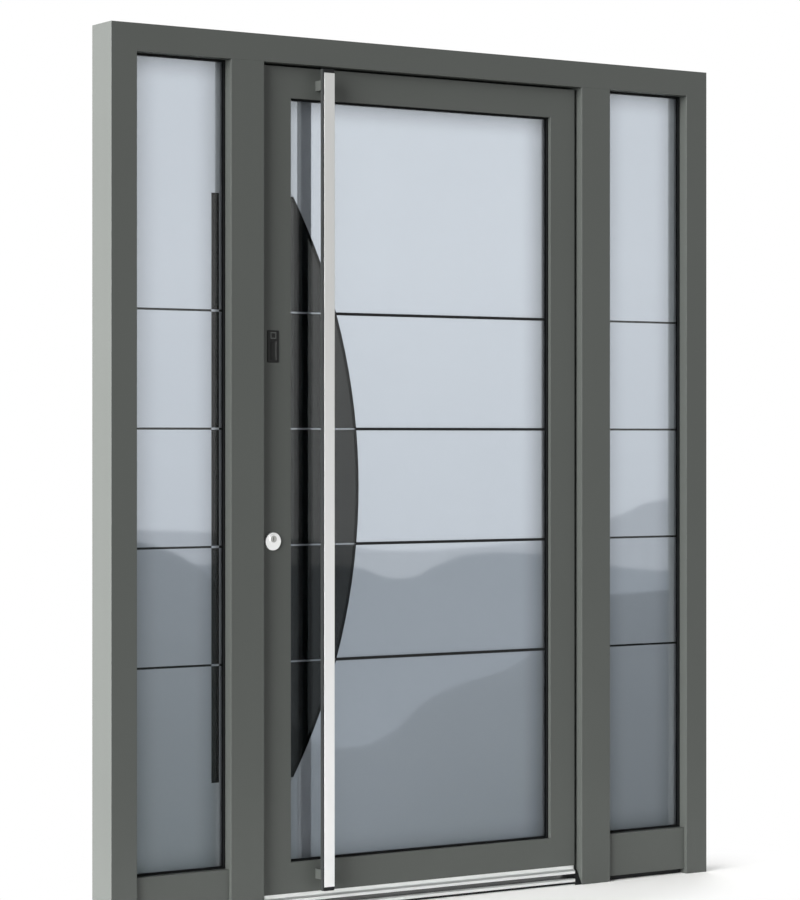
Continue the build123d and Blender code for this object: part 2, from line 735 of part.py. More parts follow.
with BuildPart() as pull_bar_standoffs:
    with BuildSketch(facing(leaf_y)):
        with Locations((bar_x, bar_bottom + standoff_from_end), (bar_x, bar_top - standoff_from_end)):
            Rectangle(standoff_width, standoff_height)
    extrude(amount=bar_standoff)
pull_bar_standoffs.part.label = "pull_bar_standoffs"
export_step(pull_bar_standoffs.part, "parts/pull_bar_standoffs.step")

# Lock roses: the outer one has a turning disc round the plug, the inner ones show the cylinder and the lever
rose_front = leaf_y - rose_thick
body_front = rose_front + rose_skin
with BuildPart() as lock_roses:
    with BuildSketch(facing(leaf_y)):
        with Locations((lock_x, rose_z)):
            Circle(rose_diameter / 2)
    extrude(amount=rose_thick)
    fillet(lock_roses.faces().sort_by(Axis.Y)[0].edges(), rose_round)
    with BuildSketch(facing(rose_front)):
        with Locations((lock_x, cylinder_z)):
            Circle(boss_diameter / 2)
    extrude(amount=boss_thick)
    chamfer(lock_roses.faces().sort_by(Axis.Y)[0].edges(), boss_edge)
    with BuildSketch(facing(leaf_in_y + inside_rose_thick)):
        with Locations((lock_x, rose_z), (lock_x, lever_z)):
            Circle(inside_rose / 2)
    extrude(amount=inside_rose_thick)
    chamfer(lock_roses.faces().sort_by(Axis.Y)[-2:].edges(), inside_rose_edge)
    with BuildSketch(facing(leaf_in_y + inside_rose_thick)):
        with Locations((lock_x, cylinder_z)):
            Circle(cylinder_round / 2 + fit_clearance)
            with Locations((0, -stem_height / 2)):
                Rectangle(cylinder_stem + 2 * fit_clearance, stem_height + 2 * fit_clearance)
    extrude(amount=leaf_in_y + inside_rose_thick - body_front, mode=Mode.SUBTRACT)
    with BuildSketch(facing(body_front)):
        with Locations((lock_x, cylinder_z)):
            Circle(cylinder_round / 2 + fit_clearance)
    extrude(amount=rose_skin + boss_thick, mode=Mode.SUBTRACT)
lock_roses.part.label = "lock_roses"
export_step(lock_roses.part, "parts/lock_roses.step")

# Profile cylinder through the stile: only the round plug comes through the outer rose
cylinder_back = leaf_in_y + inside_rose_thick + cylinder_proud
plug_front = rose_front - boss_thick + plug_recess
slot_width, slot_height, slot_depth = key_slot
with BuildPart() as lock_cylinder:
    with BuildSketch(facing(cylinder_back)):
        with Locations((lock_x, cylinder_z)):
            Circle(cylinder_round / 2)
            with Locations((0, -stem_height / 2)):
                Rectangle(cylinder_stem, stem_height)
    extrude(amount=cylinder_back - body_front - fit_clearance)
    with BuildSketch(facing(body_front + fit_clearance)):
        with Locations((lock_x, cylinder_z)):
            Circle(cylinder_round / 2)
    extrude(amount=body_front + fit_clearance - plug_front)
    for slot_back in (cylinder_back, plug_front + slot_depth):
        with BuildSketch(facing(slot_back)):
            with Locations((lock_x, cylinder_z)):
                Rectangle(slot_width, slot_height)
        extrude(amount=slot_depth, mode=Mode.SUBTRACT)
lock_cylinder.part.label = "lock_cylinder"
export_step(lock_cylinder.part, "parts/lock_cylinder.step")

# Lever on the inside: a round bar out of the rose, bent towards the hinges
neck_y = leaf_in_y + inside_rose_thick
grip_y = neck_y + lever_reach - lever_diameter / 2
with BuildPart() as inside_lever:
    with BuildLine() as lever_line:
        FilletPolyline(
            (lock_x, neck_y, lever_z), (lock_x, grip_y, lever_z),
            (lock_x + lever_length - lever_diameter / 2, grip_y, lever_z), radius=lever_bend,
        )
    with BuildSketch(Plane(origin=(lock_x, neck_y, lever_z), x_dir=(1, 0, 0), z_dir=(0, 1, 0))):
        Circle(lever_diameter / 2)
    sweep(path=lever_line.line)
    fillet(inside_lever.faces().sort_by(Axis.X)[-1].edges(), lever_end)
inside_lever.part.label = "inside_lever"
export_step(inside_lever.part, "parts/inside_lever.step")

# Finger reader: dark block let into the stile, with a finger hollow under its window
window_z = reader_z + reader_height / 2 - window_drop
hollow_z = reader_z - reader_height / 2 + finger_from_bottom + finger_length / 2
reader_front = leaf_y - reader_proud
with BuildPart() as finger_reader:
    with BuildSketch(facing(leaf_y + reader_depth)):
        with Locations((reader_x, reader_z)):
            RectangleRounded(reader_width, reader_height, reader_corner)
    extrude(amount=reader_depth + reader_proud)
    chamfer(finger_reader.faces().sort_by(Axis.Y)[0].edges(), reader_edge)
    with Locations((reader_x, reader_front - finger_radius + finger_depth, hollow_z)):
        Cylinder(finger_radius, finger_length, mode=Mode.SUBTRACT)
    with BuildSketch(facing(reader_front + window_relief)):
        with Locations((reader_x, window_z)):
            Rectangle(window_size, window_size)
            Rectangle(window_inside, window_inside, mode=Mode.SUBTRACT)
    extrude(amount=window_relief, mode=Mode.SUBTRACT)
finger_reader.part.label = "finger_reader"
export_step(finger_reader.part, "parts/finger_reader.step")

with BuildPart() as reader_window:
    with BuildSketch(facing(reader_front + window_relief)):
        with Locations((reader_x, window_z)):
            Rectangle(window_size - 2 * fit_clearance, window_size - 2 * fit_clearance)
            Rectangle(
                window_inside + 2 * fit_clearance, window_inside + 2 * fit_clearance, mode=Mode.SUBTRACT
            )
    extrude(amount=window_relief)
reader_window.part.label = "reader_window"
export_step(reader_window.part, "parts/reader_window.step")

# Faceplate of the lock in the edge of the leaf
with BuildPart() as lock_faceplate:
    with BuildSketch(Plane(origin=(-leaf_edge + plate_thick, strike_y, cylinder_z),
                           x_dir=(0, 1, 0), z_dir=(-1, 0, 0))):
        Rectangle(faceplate_width, faceplate_height)
        with Locations((0, latch_up)):
            SlotOverall(*latch_slot, rotation=90, mode=Mode.SUBTRACT)
        with Locations((0, -bolt_down)):
            SlotOverall(*bolt_slot, rotation=90, mode=Mode.SUBTRACT)
        with GridLocations(0, faceplate_height - 2 * screw_from_end, 1, 2):
            Circle(screw_radius, mode=Mode.SUBTRACT)
    extrude(amount=plate_thick)
lock_faceplate.part.label = "lock_faceplate"
export_step(lock_faceplate.part, "parts/lock_faceplate.step")

# Hinges: two knuckles on the frame, one between them on the leaf, a pin through all three
hinge_half = 1.5 * knuckle_height + knuckle_gap
plate_start = hinge_x + knuckle_radius + hinge_plate_gap
web_x = hinge_x + pin_diameter / 2 + hinge_web / 2
with BuildPart() as hinge_frame_halves:
    for level in hinge_levels:
        for z in (level - knuckle_height - knuckle_gap, level + knuckle_height + knuckle_gap):
            with Locations((hinge_x, hinge_y, z)):
                Cylinder(knuckle_radius, knuckle_height)
            with Locations((web_x, inside_y + hinge_in / 2, z)):
                Box(hinge_web, hinge_in, knuckle_height)
        with Locations((plate_start + hinge_plate_width / 2, inside_y + hinge_plate / 2, level)):
            Box(hinge_plate_width, hinge_plate, 2 * hinge_half)
    with Locations(*[(hinge_x, hinge_y, level) for level in hinge_levels]):
        Cylinder(pin_diameter / 2 + bore_clearance, 2 * hinge_half, mode=Mode.SUBTRACT)
hinge_frame_halves.part.label = "hinge_frame_halves"
export_step(hinge_frame_halves.part, "parts/hinge_frame_halves.step")

with BuildPart() as hinge_leaf_halves:
    for level in hinge_levels:
        with Locations((hinge_x, hinge_y, level)):
            Cylinder(knuckle_radius, knuckle_height)
        with Locations(((hinge_x + leaf_edge - hinge_reach) / 2, leaf_in_y + hinge_plate / 2, level)):
            Box(hinge_x - leaf_edge + hinge_reach, hinge_plate, knuckle_height)
    with Locations(*[(hinge_x, hinge_y, level) for level in hinge_levels]):
        Cylinder(pin_diameter / 2 + bore_clearance, 2 * hinge_half, mode=Mode.SUBTRACT)
hinge_leaf_halves.part.label = "hinge_leaf_halves"
export_step(hinge_leaf_halves.part, "parts/hinge_leaf_halves.step")

with BuildPart() as hinge_pins:
    with Locations(*[(hinge_x, hinge_y, level) for level in hinge_levels]):
        Cylinder(pin_diameter / 2, 2 * hinge_half + 2 * pin_head)
    fillet(hinge_pins.edges().filter_by(GeomType.CIRCLE), pin_head / 2)
hinge_pins.part.label = "hinge_pins"
export_step(hinge_pins.part, "parts/hinge_pins.step")
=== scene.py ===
"""Look of the entrance door: finishes of every piece, small fittings, studio light and camera.

Metres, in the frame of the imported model: X to the right seen from outside, Y into the building, Z up.
"""
import json
import logging
import math
from dataclasses import dataclass
from enum import Enum
from typing import Any, Callable, Optional

import bmesh
import bpy
from mathutils import Matrix, Vector

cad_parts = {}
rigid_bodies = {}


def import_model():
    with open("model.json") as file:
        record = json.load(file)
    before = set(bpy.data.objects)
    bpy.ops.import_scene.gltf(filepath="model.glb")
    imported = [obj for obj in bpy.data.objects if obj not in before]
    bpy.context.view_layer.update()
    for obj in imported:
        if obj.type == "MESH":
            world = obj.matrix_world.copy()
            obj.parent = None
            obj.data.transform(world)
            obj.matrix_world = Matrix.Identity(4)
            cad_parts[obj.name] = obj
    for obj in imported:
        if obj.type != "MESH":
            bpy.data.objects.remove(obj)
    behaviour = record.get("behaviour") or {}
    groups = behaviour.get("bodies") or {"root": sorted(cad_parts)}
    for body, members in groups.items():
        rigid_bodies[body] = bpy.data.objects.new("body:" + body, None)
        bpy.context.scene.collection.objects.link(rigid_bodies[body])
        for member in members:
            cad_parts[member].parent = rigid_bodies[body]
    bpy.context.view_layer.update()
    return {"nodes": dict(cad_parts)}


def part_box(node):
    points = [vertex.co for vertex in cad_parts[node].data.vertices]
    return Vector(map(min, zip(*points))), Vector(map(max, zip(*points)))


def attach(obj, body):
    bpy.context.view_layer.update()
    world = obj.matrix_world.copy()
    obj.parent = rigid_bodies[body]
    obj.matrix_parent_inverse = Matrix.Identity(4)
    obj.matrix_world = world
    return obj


LOG = logging.getLogger("entrance_door")
MM = 0.001
SMOOTH_ANGLE = math.radians(32)     # edges sharper than this stay sharp
NOISE_LOW, NOISE_HIGH = 0.3, 0.7    # most of a noise pattern lies between these
# Sockets of a colour Mix node, by number because its other kinds share their names.
SHARE, FIRST, SECOND, MIXED = 0, 6, 7, 2


class Body(Enum):
    """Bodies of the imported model."""

    FRAME = "frame"
    LEAF = "leaf"


class Slot(Enum):
    """Material slots of the record."""

    POWDER_COAT = "powder_coat"
    CLEAR_GLASS = "clear_glass"
    TINTED_GLASS = "tinted_glass"
    SEAL_RUBBER = "seal_rubber"
    SPACER_PLASTIC = "spacer_plastic"
    ANODISED_ALUMINIUM = "anodised_aluminium"
    BLACK_PLASTIC = "black_plastic"
    STAINLESS_STEEL = "stainless_steel"
    BAR_CORE = "bar_core"
    READER_PLASTIC = "reader_plastic"
    READER_WINDOW = "reader_window"
    HINGE_METAL = "hinge_metal"


class Grain(Enum):
    """Direction in which a metal was brushed or drawn."""

    ALONG_X = (1, 0, 0)
    ALONG_Z = (0, 0, 1)


def linear(colour: str) -> tuple[float, float, float, float]:
    """Turn an sRGB hex colour into linear red, green, blue and alpha.

    Args:
        colour: hex digits such as "#585B58".

    Returns:
        Linear components, with an alpha of 1.
    """
    parts = [int(colour[i:i + 2], 16) / 255 for i in (1, 3, 5)]
    light = [p / 12.92 if p <= 0.04045 else ((p + 0.055) / 1.055) ** 2.4 for p in parts]
    return (*light, 1.0)


def add_node(tree: bpy.types.NodeTree, kind: str, inputs: Optional[dict] = None,
             **settings: Any) -> bpy.types.Node:
    """Add a node with its settings, values and links.

    Args:
        tree: node tree that gets the node.
        kind: type name of the node.
        inputs: by socket name or number, a value or the output socket to link from.
        settings: attributes of the node itself.

    Returns:
        The new node.
    """
    made = tree.nodes.new(kind)
    for name, value in settings.items():
        setattr(made, name, value)
    for name, value in (inputs or {}).items():
        if isinstance(value, bpy.types.NodeSocket):
            tree.links.new(value, made.inputs[name])
        else:
            made.inputs[name].default_value = value
    return made


@dataclass(frozen=True)
class Finish:
    """A finish that makes one node material; what differs is in dress()."""

    name: str

    def material(self) -> bpy.types.Material:
        """Build the material.

        Returns:
            The node material, named for what the surface is made of.
        """
        made = bpy.data.materials.new(self.name)
        made.use_nodes = True
        tree = made.node_tree
        place = add_node(tree, "ShaderNodeTexCoord").outputs["Object"]
        self.dress(tree, tree.nodes["Principled BSDF"], place)
        return made

    def dress(self, tree: bpy.types.NodeTree, shader: bpy.types.Node, place: bpy.types.NodeSocket) -> None:
        """Set the shader and its patterns.

        Args:
            tree: node tree of the material.
            shader: its Principled shader.
            place: Object coordinates.
        """
        raise NotImplementedError

    @staticmethod
    def roughen(tree: bpy.types.NodeTree, shader: bpy.types.Node, pattern: bpy.types.NodeSocket,
                gloss: tuple[float, float], strength: float, depth_mm: float) -> None:
        """Let a pattern vary the roughness and the relief of a surface.

        Args:
            tree: node tree of the material.
            shader: its Principled shader.
            pattern: noise that both follow.
            gloss: roughness where the noise is low and where it is high.
            strength: share of the relief that shows.
            depth_mm: height of the relief.
        """
        rough = add_node(tree, "ShaderNodeMapRange", {
            "Value": pattern, "From Min": NOISE_LOW, "From Max": NOISE_HIGH,
            "To Min": gloss[0], "To Max": gloss[1]})
        relief = add_node(tree, "ShaderNodeBump", {
            "Height": pattern, "Strength": strength, "Distance": depth_mm * MM})
        tree.links.new(rough.outputs["Result"], shader.inputs["Roughness"])
        tree.links.new(relief.outputs["Normal"], shader.inputs["Normal"])


@dataclass(frozen=True)
class PowderCoat(Finish):
    """Fine-structure polyester powder, baked: matt, with a leathery grain and a faint cloud of tone."""

    colour: str
    cloud_colour: str
    roughness: float = 0.46
    grain_mm: float = 1.5        # real grain is about 0.4 mm, drawn coarser so that it shows
    cloud_mm: float = 240.0
    relief_mm: float = 0.05
    relief_strength: float = 0.5
    gloss_spread: float = 0.05
    ior: float = 1.48

    def dress(self, tree: bpy.types.NodeTree, shader: bpy.types.Node, place: bpy.types.NodeSocket) -> None:
        """Tone from a wide cloud, gloss and relief from the grain."""
        cloud = add_node(tree, "ShaderNodeTexNoise", {
            "Vector": place, "Scale": 1 / (self.cloud_mm * MM), "Detail": 3.0})
        grain = add_node(tree, "ShaderNodeTexNoise", {
            "Vector": place, "Scale": 1 / (self.grain_mm * MM), "Detail": 2.0})
        tone = add_node(tree, "ShaderNodeMix", {
            SHARE: cloud.outputs["Fac"], FIRST: linear(self.colour), SECOND: linear(self.cloud_colour)},
            data_type="RGBA")
        tree.links.new(tone.outputs[MIXED], shader.inputs["Base Color"])
        gloss = (self.roughness - self.gloss_spread, self.roughness + self.gloss_spread)
        self.roughen(tree, shader, grain.outputs["Fac"], gloss, self.relief_strength, self.relief_mm)
        shader.inputs["IOR"].default_value = self.ior


@dataclass(frozen=True)
class FloatGlass(Finish):
    """Clear float glass: flat, smooth, with the faint green of its iron."""

    colour: str
    ior: float = 1.36            # bloomed against glare, so lower than plain glass
    wave_mm: float = 420.0       # roller wave of tempered panes
    wave_height_mm: float = 0.2
    wave_strength: float = 0.3

    def dress(self, tree: bpy.types.NodeTree, shader: bpy.types.Node, place: bpy.types.NodeSocket) -> None:
        """Full transmission, with a very slight wave in the surface."""
        wave = add_node(tree, "ShaderNodeTexNoise", {
            "Vector": place, "Scale": 1 / (self.wave_mm * MM), "Detail": 0.0})
        bent = add_node(tree, "ShaderNodeBump", {
            "Height": wave.outputs["Fac"], "Strength": self.wave_strength,
            "Distance": self.wave_height_mm * MM})
        tree.links.new(bent.outputs["Normal"], shader.inputs["Normal"])
        shader.inputs["Base Color"].default_value = linear(self.colour)
        shader.inputs["Roughness"].default_value = 0.0
        shader.inputs["IOR"].default_value = self.ior
        shader.inputs["Transmission Weight"].default_value = 1.0


@dataclass(frozen=True)
class DarkPanePaintedShade(Finish):
    """Grey glass with a smooth, hard gloss: nearly black where no frost covers it, painted shade that stands
    in for the dim space behind the door.
    """

    colour: str
    haze_colour: str
    haze_mm: float = 180.0
    roughness: float = 0.02

    def dress(self, tree: bpy.types.NodeTree, shader: bpy.types.Node, place: bpy.types.NodeSocket) -> None:
        """Dark body with a slight haze: painted shade."""
        haze = add_node(tree, "ShaderNodeTexNoise", {
            "Vector": place, "Scale": 1 / (self.haze_mm * MM), "Detail": 2.0})
        tone = add_node(tree, "ShaderNodeMix", {
            SHARE: haze.outputs["Fac"], FIRST: linear(self.colour), SECOND: linear(self.haze_colour)},
            data_type="RGBA")
        tree.links.new(tone.outputs[MIXED], shader.inputs["Base Color"])
        shader.inputs["Roughness"].default_value = self.roughness


@dataclass(frozen=True)
class PaintedEdgeShade:
    """Where frosted panes of one size stand, and how much painted shade darkens their frost at each edge."""

    first_left: float
    second_left: float           # of the pane right of the middle, or the first again where there is one pane
    width: float
    bottom: float
    top: float
    left_share: float = 0.38     # share of the tone that the painted shade takes at this edge
    right_share: float = 0.56
    bottom_share: float = 0.2
    top_share: float = 0.46
    side_reach: float = 80 * MM  # how far the shade goes inwards from left and right
    end_reach: float = 58 * MM   # the same from bottom and top
    falling: float = 1.45        # power of the fall from the edge inwards

    def shade(self, tree: bpy.types.NodeTree, place: bpy.types.NodeSocket) -> bpy.types.NodeSocket:
        """Work out the share of the tone that stays.

        Args:
            tree: node tree of the material.
            place: Object coordinates.

        Returns:
            A factor of 1 in the middle of a pane, and less towards its edges, where it paints shade.
        """
        at = add_node(tree, "ShaderNodeSeparateXYZ", {0: place}).outputs
        second = add_node(tree, "ShaderNodeMath", {0: at["X"], 1: 0.0}, operation="GREATER_THAN").outputs[0]
        left = add_node(tree, "ShaderNodeMath", {
            0: second, 1: self.second_left - self.first_left, 2: self.first_left},
            operation="MULTIPLY_ADD").outputs[0]
        across = add_node(tree, "ShaderNodeMath", {0: at["X"], 1: left}, operation="SUBTRACT").outputs[0]
        kept = None
        for along, edge, inwards, share in (
                (across, 0.0, self.side_reach, self.left_share),
                (across, self.width, -self.side_reach, self.right_share),
                (at["Z"], self.bottom, self.end_reach, self.bottom_share),
                (at["Z"], self.top, -self.end_reach, self.top_share)):
            near = add_node(tree, "ShaderNodeMapRange", {
                "Value": along, "From Min": edge + inwards, "From Max": edge})
            eased = add_node(tree, "ShaderNodeMath", {
                0: near.outputs["Result"], 1: self.falling}, operation="POWER")
            stays = add_node(tree, "ShaderNodeMath", {
                0: eased.outputs[0], 1: -share, 2: 1.0}, operation="MULTIPLY_ADD").outputs[0]
            kept = stays if kept is None else add_node(
                tree, "ShaderNodeMath", {0: kept, 1: stays}, operation="MULTIPLY").outputs[0]
        return kept


@dataclass(frozen=True)
class SatinGlass(Finish):
    """Frosted glass under a thin metal coat against the sun: pale blue grey, half matt, half mirror.

    The frost's colour is darkened along the edges of a pane: painted shade, where the deep rebate keeps light
    from it.
    """

    colour: str
    cloud_colour: str
    edges: PaintedEdgeShade
    mirror: float = 0.6
    roughness: float = 0.02
    cloud_mm: float = 320.0

    def dress(self, tree: bpy.types.NodeTree, shader: bpy.types.Node, place: bpy.types.NodeSocket) -> None:
        """Pale field with a wide, very soft cloud and painted shade along its edges."""
        cloud = add_node(tree, "ShaderNodeTexNoise", {
            "Vector": place, "Scale": 1 / (self.cloud_mm * MM), "Detail": 2.0})
        tone = add_node(tree, "ShaderNodeMix", {
            SHARE: cloud.outputs["Fac"], FIRST: linear(self.colour), SECOND: linear(self.cloud_colour)},
            data_type="RGBA")
        # darken the frost's colour towards each edge: painted shade
        painted_edge_shade = add_node(tree, "ShaderNodeMix", {
            SHARE: 1.0, FIRST: tone.outputs[MIXED], SECOND: self.edges.shade(tree, place)},
            data_type="RGBA", blend_type="MULTIPLY")
        tree.links.new(painted_edge_shade.outputs[MIXED], shader.inputs["Base Color"])
        shader.inputs["Metallic"].default_value = self.mirror
        shader.inputs["Roughness"].default_value = self.roughness


@dataclass(frozen=True)
class EtchedSegment(SatinGlass):
    """Frosted glass with a segment of a circle left dark, where thin lines are etched more lightly."""

    line_colour: str = "#B2B5BE"
    middle: Vector = Vector((0.0, 0.0, 0.0))
    radius: float = 1.0

    def dress(self, tree: bpy.types.NodeTree, shader: bpy.types.Node, place: bpy.types.NodeSocket) -> None:
        """The frosted field, with a greyer tone inside the circle."""
        super().dress(tree, shader, place)
        tone = shader.inputs["Base Color"].links[0].from_socket
        away = add_node(tree, "ShaderNodeVectorMath", {0: place, 1: self.middle}, operation="DISTANCE")
        inside = add_node(tree, "ShaderNodeMath", {
            0: away.outputs["Value"], 1: self.radius}, operation="LESS_THAN")
        both = add_node(tree, "ShaderNodeMix", {
            SHARE: inside.outputs["Value"], FIRST: tone, SECOND: linear(self.line_colour)}, data_type="RGBA")
        tree.links.new(both.outputs[MIXED], shader.inputs["Base Color"])


@dataclass(frozen=True)
class Moulded(Finish):
    """Moulded plastic or extruded rubber: one colour with a fine spark-eroded or talc-dusted grain."""

    colour: str
    dust_colour: str
    roughness: float
    shine: float = 0.5
    grain_mm: float = 1.2        # real grain is about 0.3 mm, drawn coarser so that it shows
    relief_mm: float = 0.04
    relief_strength: float = 0.4
    gloss_spread: float = 0.06

    def dress(self, tree: bpy.types.NodeTree, shader: bpy.types.Node, place: bpy.types.NodeSocket) -> None:
        """Grain in tone, gloss and relief."""
        grain = add_node(tree, "ShaderNodeTexNoise", {
            "Vector": place, "Scale": 1 / (self.grain_mm * MM), "Detail": 3.0})
        tone = add_node(tree, "ShaderNodeMix", {
            SHARE: grain.outputs["Fac"], FIRST: linear(self.colour), SECOND: linear(self.dust_colour)},
            data_type="RGBA")
        tree.links.new(tone.outputs[MIXED], shader.inputs["Base Color"])
        gloss = (self.roughness - self.gloss_spread, self.roughness + self.gloss_spread)
        self.roughen(tree, shader, grain.outputs["Fac"], gloss, self.relief_strength, self.relief_mm)
        shader.inputs["Specular IOR Level"].default_value = self.shine


@dataclass(frozen=True)
class BrushedMetal(Finish):
    """Bare metal with fine lines in one direction, from a brushing belt or an extrusion die."""

    colour: str
    shade_colour: str
    roughness: float
    grain: Grain
    metal: float = 1.0           # less where a matt oxide or pearl layer scatters light like paint
    line_mm: float = 1.1         # real lines are about 0.1 mm apart, drawn coarser so that they show
    line_length_mm: float = 140.0
    relief_mm: float = 0.02
    relief_strength: float = 0.35
    gloss_spread: float = 0.06

    def dress(self, tree: bpy.types.NodeTree, shader: bpy.types.Node, place: bpy.types.NodeSocket) -> None:
        """Lines in tone, gloss and relief, stretched along the grain."""
        across = 1 / (self.line_mm * MM)
        along = 1 / (self.line_length_mm * MM)
        stretch = [along if way else across for way in self.grain.value]
        lines_at = add_node(tree, "ShaderNodeMapping", {"Vector": place, "Scale": stretch})
        lines = add_node(tree, "ShaderNodeTexNoise", {
            "Vector": lines_at.outputs["Vector"], "Scale": 1.0, "Detail": 3.0})
        tone = add_node(tree, "ShaderNodeMix", {
            SHARE: lines.outputs["Fac"], FIRST: linear(self.shade_colour), SECOND: linear(self.colour)},
            data_type="RGBA")
        tree.links.new(tone.outputs[MIXED], shader.inputs["Base Color"])
        gloss = (self.roughness + self.gloss_spread, self.roughness - self.gloss_spread)
        self.roughen(tree, shader, lines.outputs["Fac"], gloss, self.relief_strength, self.relief_mm)
        shader.inputs["Metallic"].default_value = self.metal


@dataclass(frozen=True)
class PaintedReflectionMetal(BrushedMetal):
    """Brushed metal painted paler towards its foot: a painted reflection of bright ground."""

    reflection_colour: str = "#FFFFFF"
    pale_from_mm: float = 1550.0
    palest_at_mm: float = 350.0

    def dress(self, tree: bpy.types.NodeTree, shader: bpy.types.Node, place: bpy.types.NodeSocket) -> None:
        """The brushed metal, with its tone mixed by height towards a paler one: the painted reflection."""
        super().dress(tree, shader, place)
        tone = shader.inputs["Base Color"].links[0].from_socket
        height = add_node(tree, "ShaderNodeSeparateXYZ", {0: place}).outputs["Z"]
        share = add_node(tree, "ShaderNodeMapRange", {
            "Value": height, "From Min": self.pale_from_mm * MM, "From Max": self.palest_at_mm * MM})
        painted_reflection = add_node(tree, "ShaderNodeMix", {
            SHARE: share.outputs["Result"], FIRST: tone, SECOND: linear(self.reflection_colour)}, data_type="RGBA")
        tree.links.new(painted_reflection.outputs[MIXED], shader.inputs["Base Color"])


FINISHES: dict[Slot, Finish] = {
    Slot.POWDER_COAT: PowderCoat("grey_powder_coat", "#484B48", "#4B4E4B"),
    Slot.HINGE_METAL: PowderCoat("grey_powder_coat_hinges", "#484B48", "#4D504D", roughness=0.4),
    Slot.BAR_CORE: PowderCoat("grey_coated_bar", "#2D2F2F", "#323433", roughness=0.5),
    Slot.CLEAR_GLASS: FloatGlass("clear_float_glass", "#F8FBFA"),
    # the pattern panes' near black is painted shade for the dim space behind the door
    Slot.TINTED_GLASS: DarkPanePaintedShade("dark_pane_painted_shade", "#0C1013", "#101417"),
    Slot.SEAL_RUBBER: Moulded("black_seal_rubber", "#070809", "#0B0D0E", 0.7, shine=0.15),
    Slot.SPACER_PLASTIC: Moulded("black_spacer_plastic", "#0B0D0E", "#101213", 0.5, shine=0.3),
    Slot.BLACK_PLASTIC: Moulded("black_glass_filled_plastic", "#0E0F10", "#141516", 0.55, shine=0.25),
    Slot.READER_PLASTIC: Moulded("black_reader_plastic", "#080908", "#0C0D0C", 0.4, shine=0.3,
                                 relief_mm=0.01),
    Slot.READER_WINDOW: Moulded("grey_reader_window", "#4A4D4B", "#525553", 0.25, relief_mm=0.01),
    Slot.STAINLESS_STEEL: BrushedMetal("brushed_stainless_steel", "#F0F0EE", "#E6E6E3", 0.385, Grain.ALONG_Z),
    Slot.ANODISED_ALUMINIUM: BrushedMetal("anodised_aluminium", "#EDEFEE", "#E2E4E3", 0.41, Grain.ALONG_X,
                                          metal=0.9),
}


class Palette:
    """Makes each finish once and hands it to pieces."""

    def __init__(self) -> None:
        """Build the materials of all slots."""
        self.made = {slot: finish.material() for slot, finish in FINISHES.items()}

    def give(self, piece: bpy.types.Object, slot: Slot) -> None:
        """Put a slot's material on a piece, in place of what it has.

        Args:
            piece: the mesh object.
            slot: the record's material slot.
        """
        self.lay_on(piece, self.made[slot])

    @staticmethod
    def lay_on(piece: bpy.types.Object, material: bpy.types.Material) -> None:
        """Make a material the only one of a piece."""
        piece.data.materials.clear()
        piece.data.materials.append(material)


@dataclass
class Assembly:
    """A group of pieces: dresses its CAD nodes and adds its own small pieces."""

    nodes: dict[str, bpy.types.Object]
    palette: Palette

    def dress(self, slot: Slot, *names: str) -> None:
        """Give CAD nodes a finish.

        Args:
            slot: the record's material slot.
            names: names of the nodes.
        """
        for name in names:
            self.palette.give(self.nodes[name], slot)
            LOG.info("%s: %s", name, slot.value)

    def clad(self, name: str, finish: Finish) -> None:
        """Give one CAD node a finish of its own.

        Args:
            name: name of the node.
            finish: what the node is made of.
        """
        self.palette.lay_on(self.nodes[name], finish.material())
        LOG.info("%s: %s", name, finish.name)

    def add_piece(self, name: str, body: Body, slot: Slot,
                  shape: Callable[[bmesh.types.BMesh], None]) -> None:
        """Make a new piece from a bmesh, at the origin, and let it ride on a body.

        Args:
            name: name of the piece.
            body: body that it moves with.
            slot: the record's material slot that it takes its finish from.
            shape: fills the bmesh with the piece, in place, with its faces turned outwards.
        """
        form = bmesh.new()
        shape(form)
        mesh = bpy.data.meshes.new(name)
        form.to_mesh(mesh)
        form.free()
        mesh.shade_smooth()
        mesh.set_sharp_from_angle(angle=SMOOTH_ANGLE)
        piece = bpy.data.objects.new(name, mesh)
        bpy.context.scene.collection.objects.link(piece)
        self.palette.give(piece, slot)
        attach(piece, body.value)
        LOG.info("%s: new piece on %s, %s", name, body.value, slot.value)

    def build(self) -> None:
        """Dress the nodes and add the pieces."""
        raise NotImplementedError


def edges_of(verts: list[bmesh.types.BMVert]) -> list[bmesh.types.BMEdge]:
    """Edges that meet the vertices, each once, in an order that is the same in every run."""
    return list(dict.fromkeys(edge for vert in verts for edge in vert.link_edges))


def add_box(form: bmesh.types.BMesh, low: Vector, high: Vector) -> list[bmesh.types.BMVert]:
    """Add a box between two corners to a bmesh.

    Args:
        form: bmesh that gets the box.
        low: lowest corner.
        high: highest corner.

    Returns:
        The eight new vertices.
    """
    place = Matrix.Translation((low + high) / 2) @ Matrix.Diagonal((*(high - low), 1))
    return bmesh.ops.create_cube(form, size=1, matrix=place)["verts"]


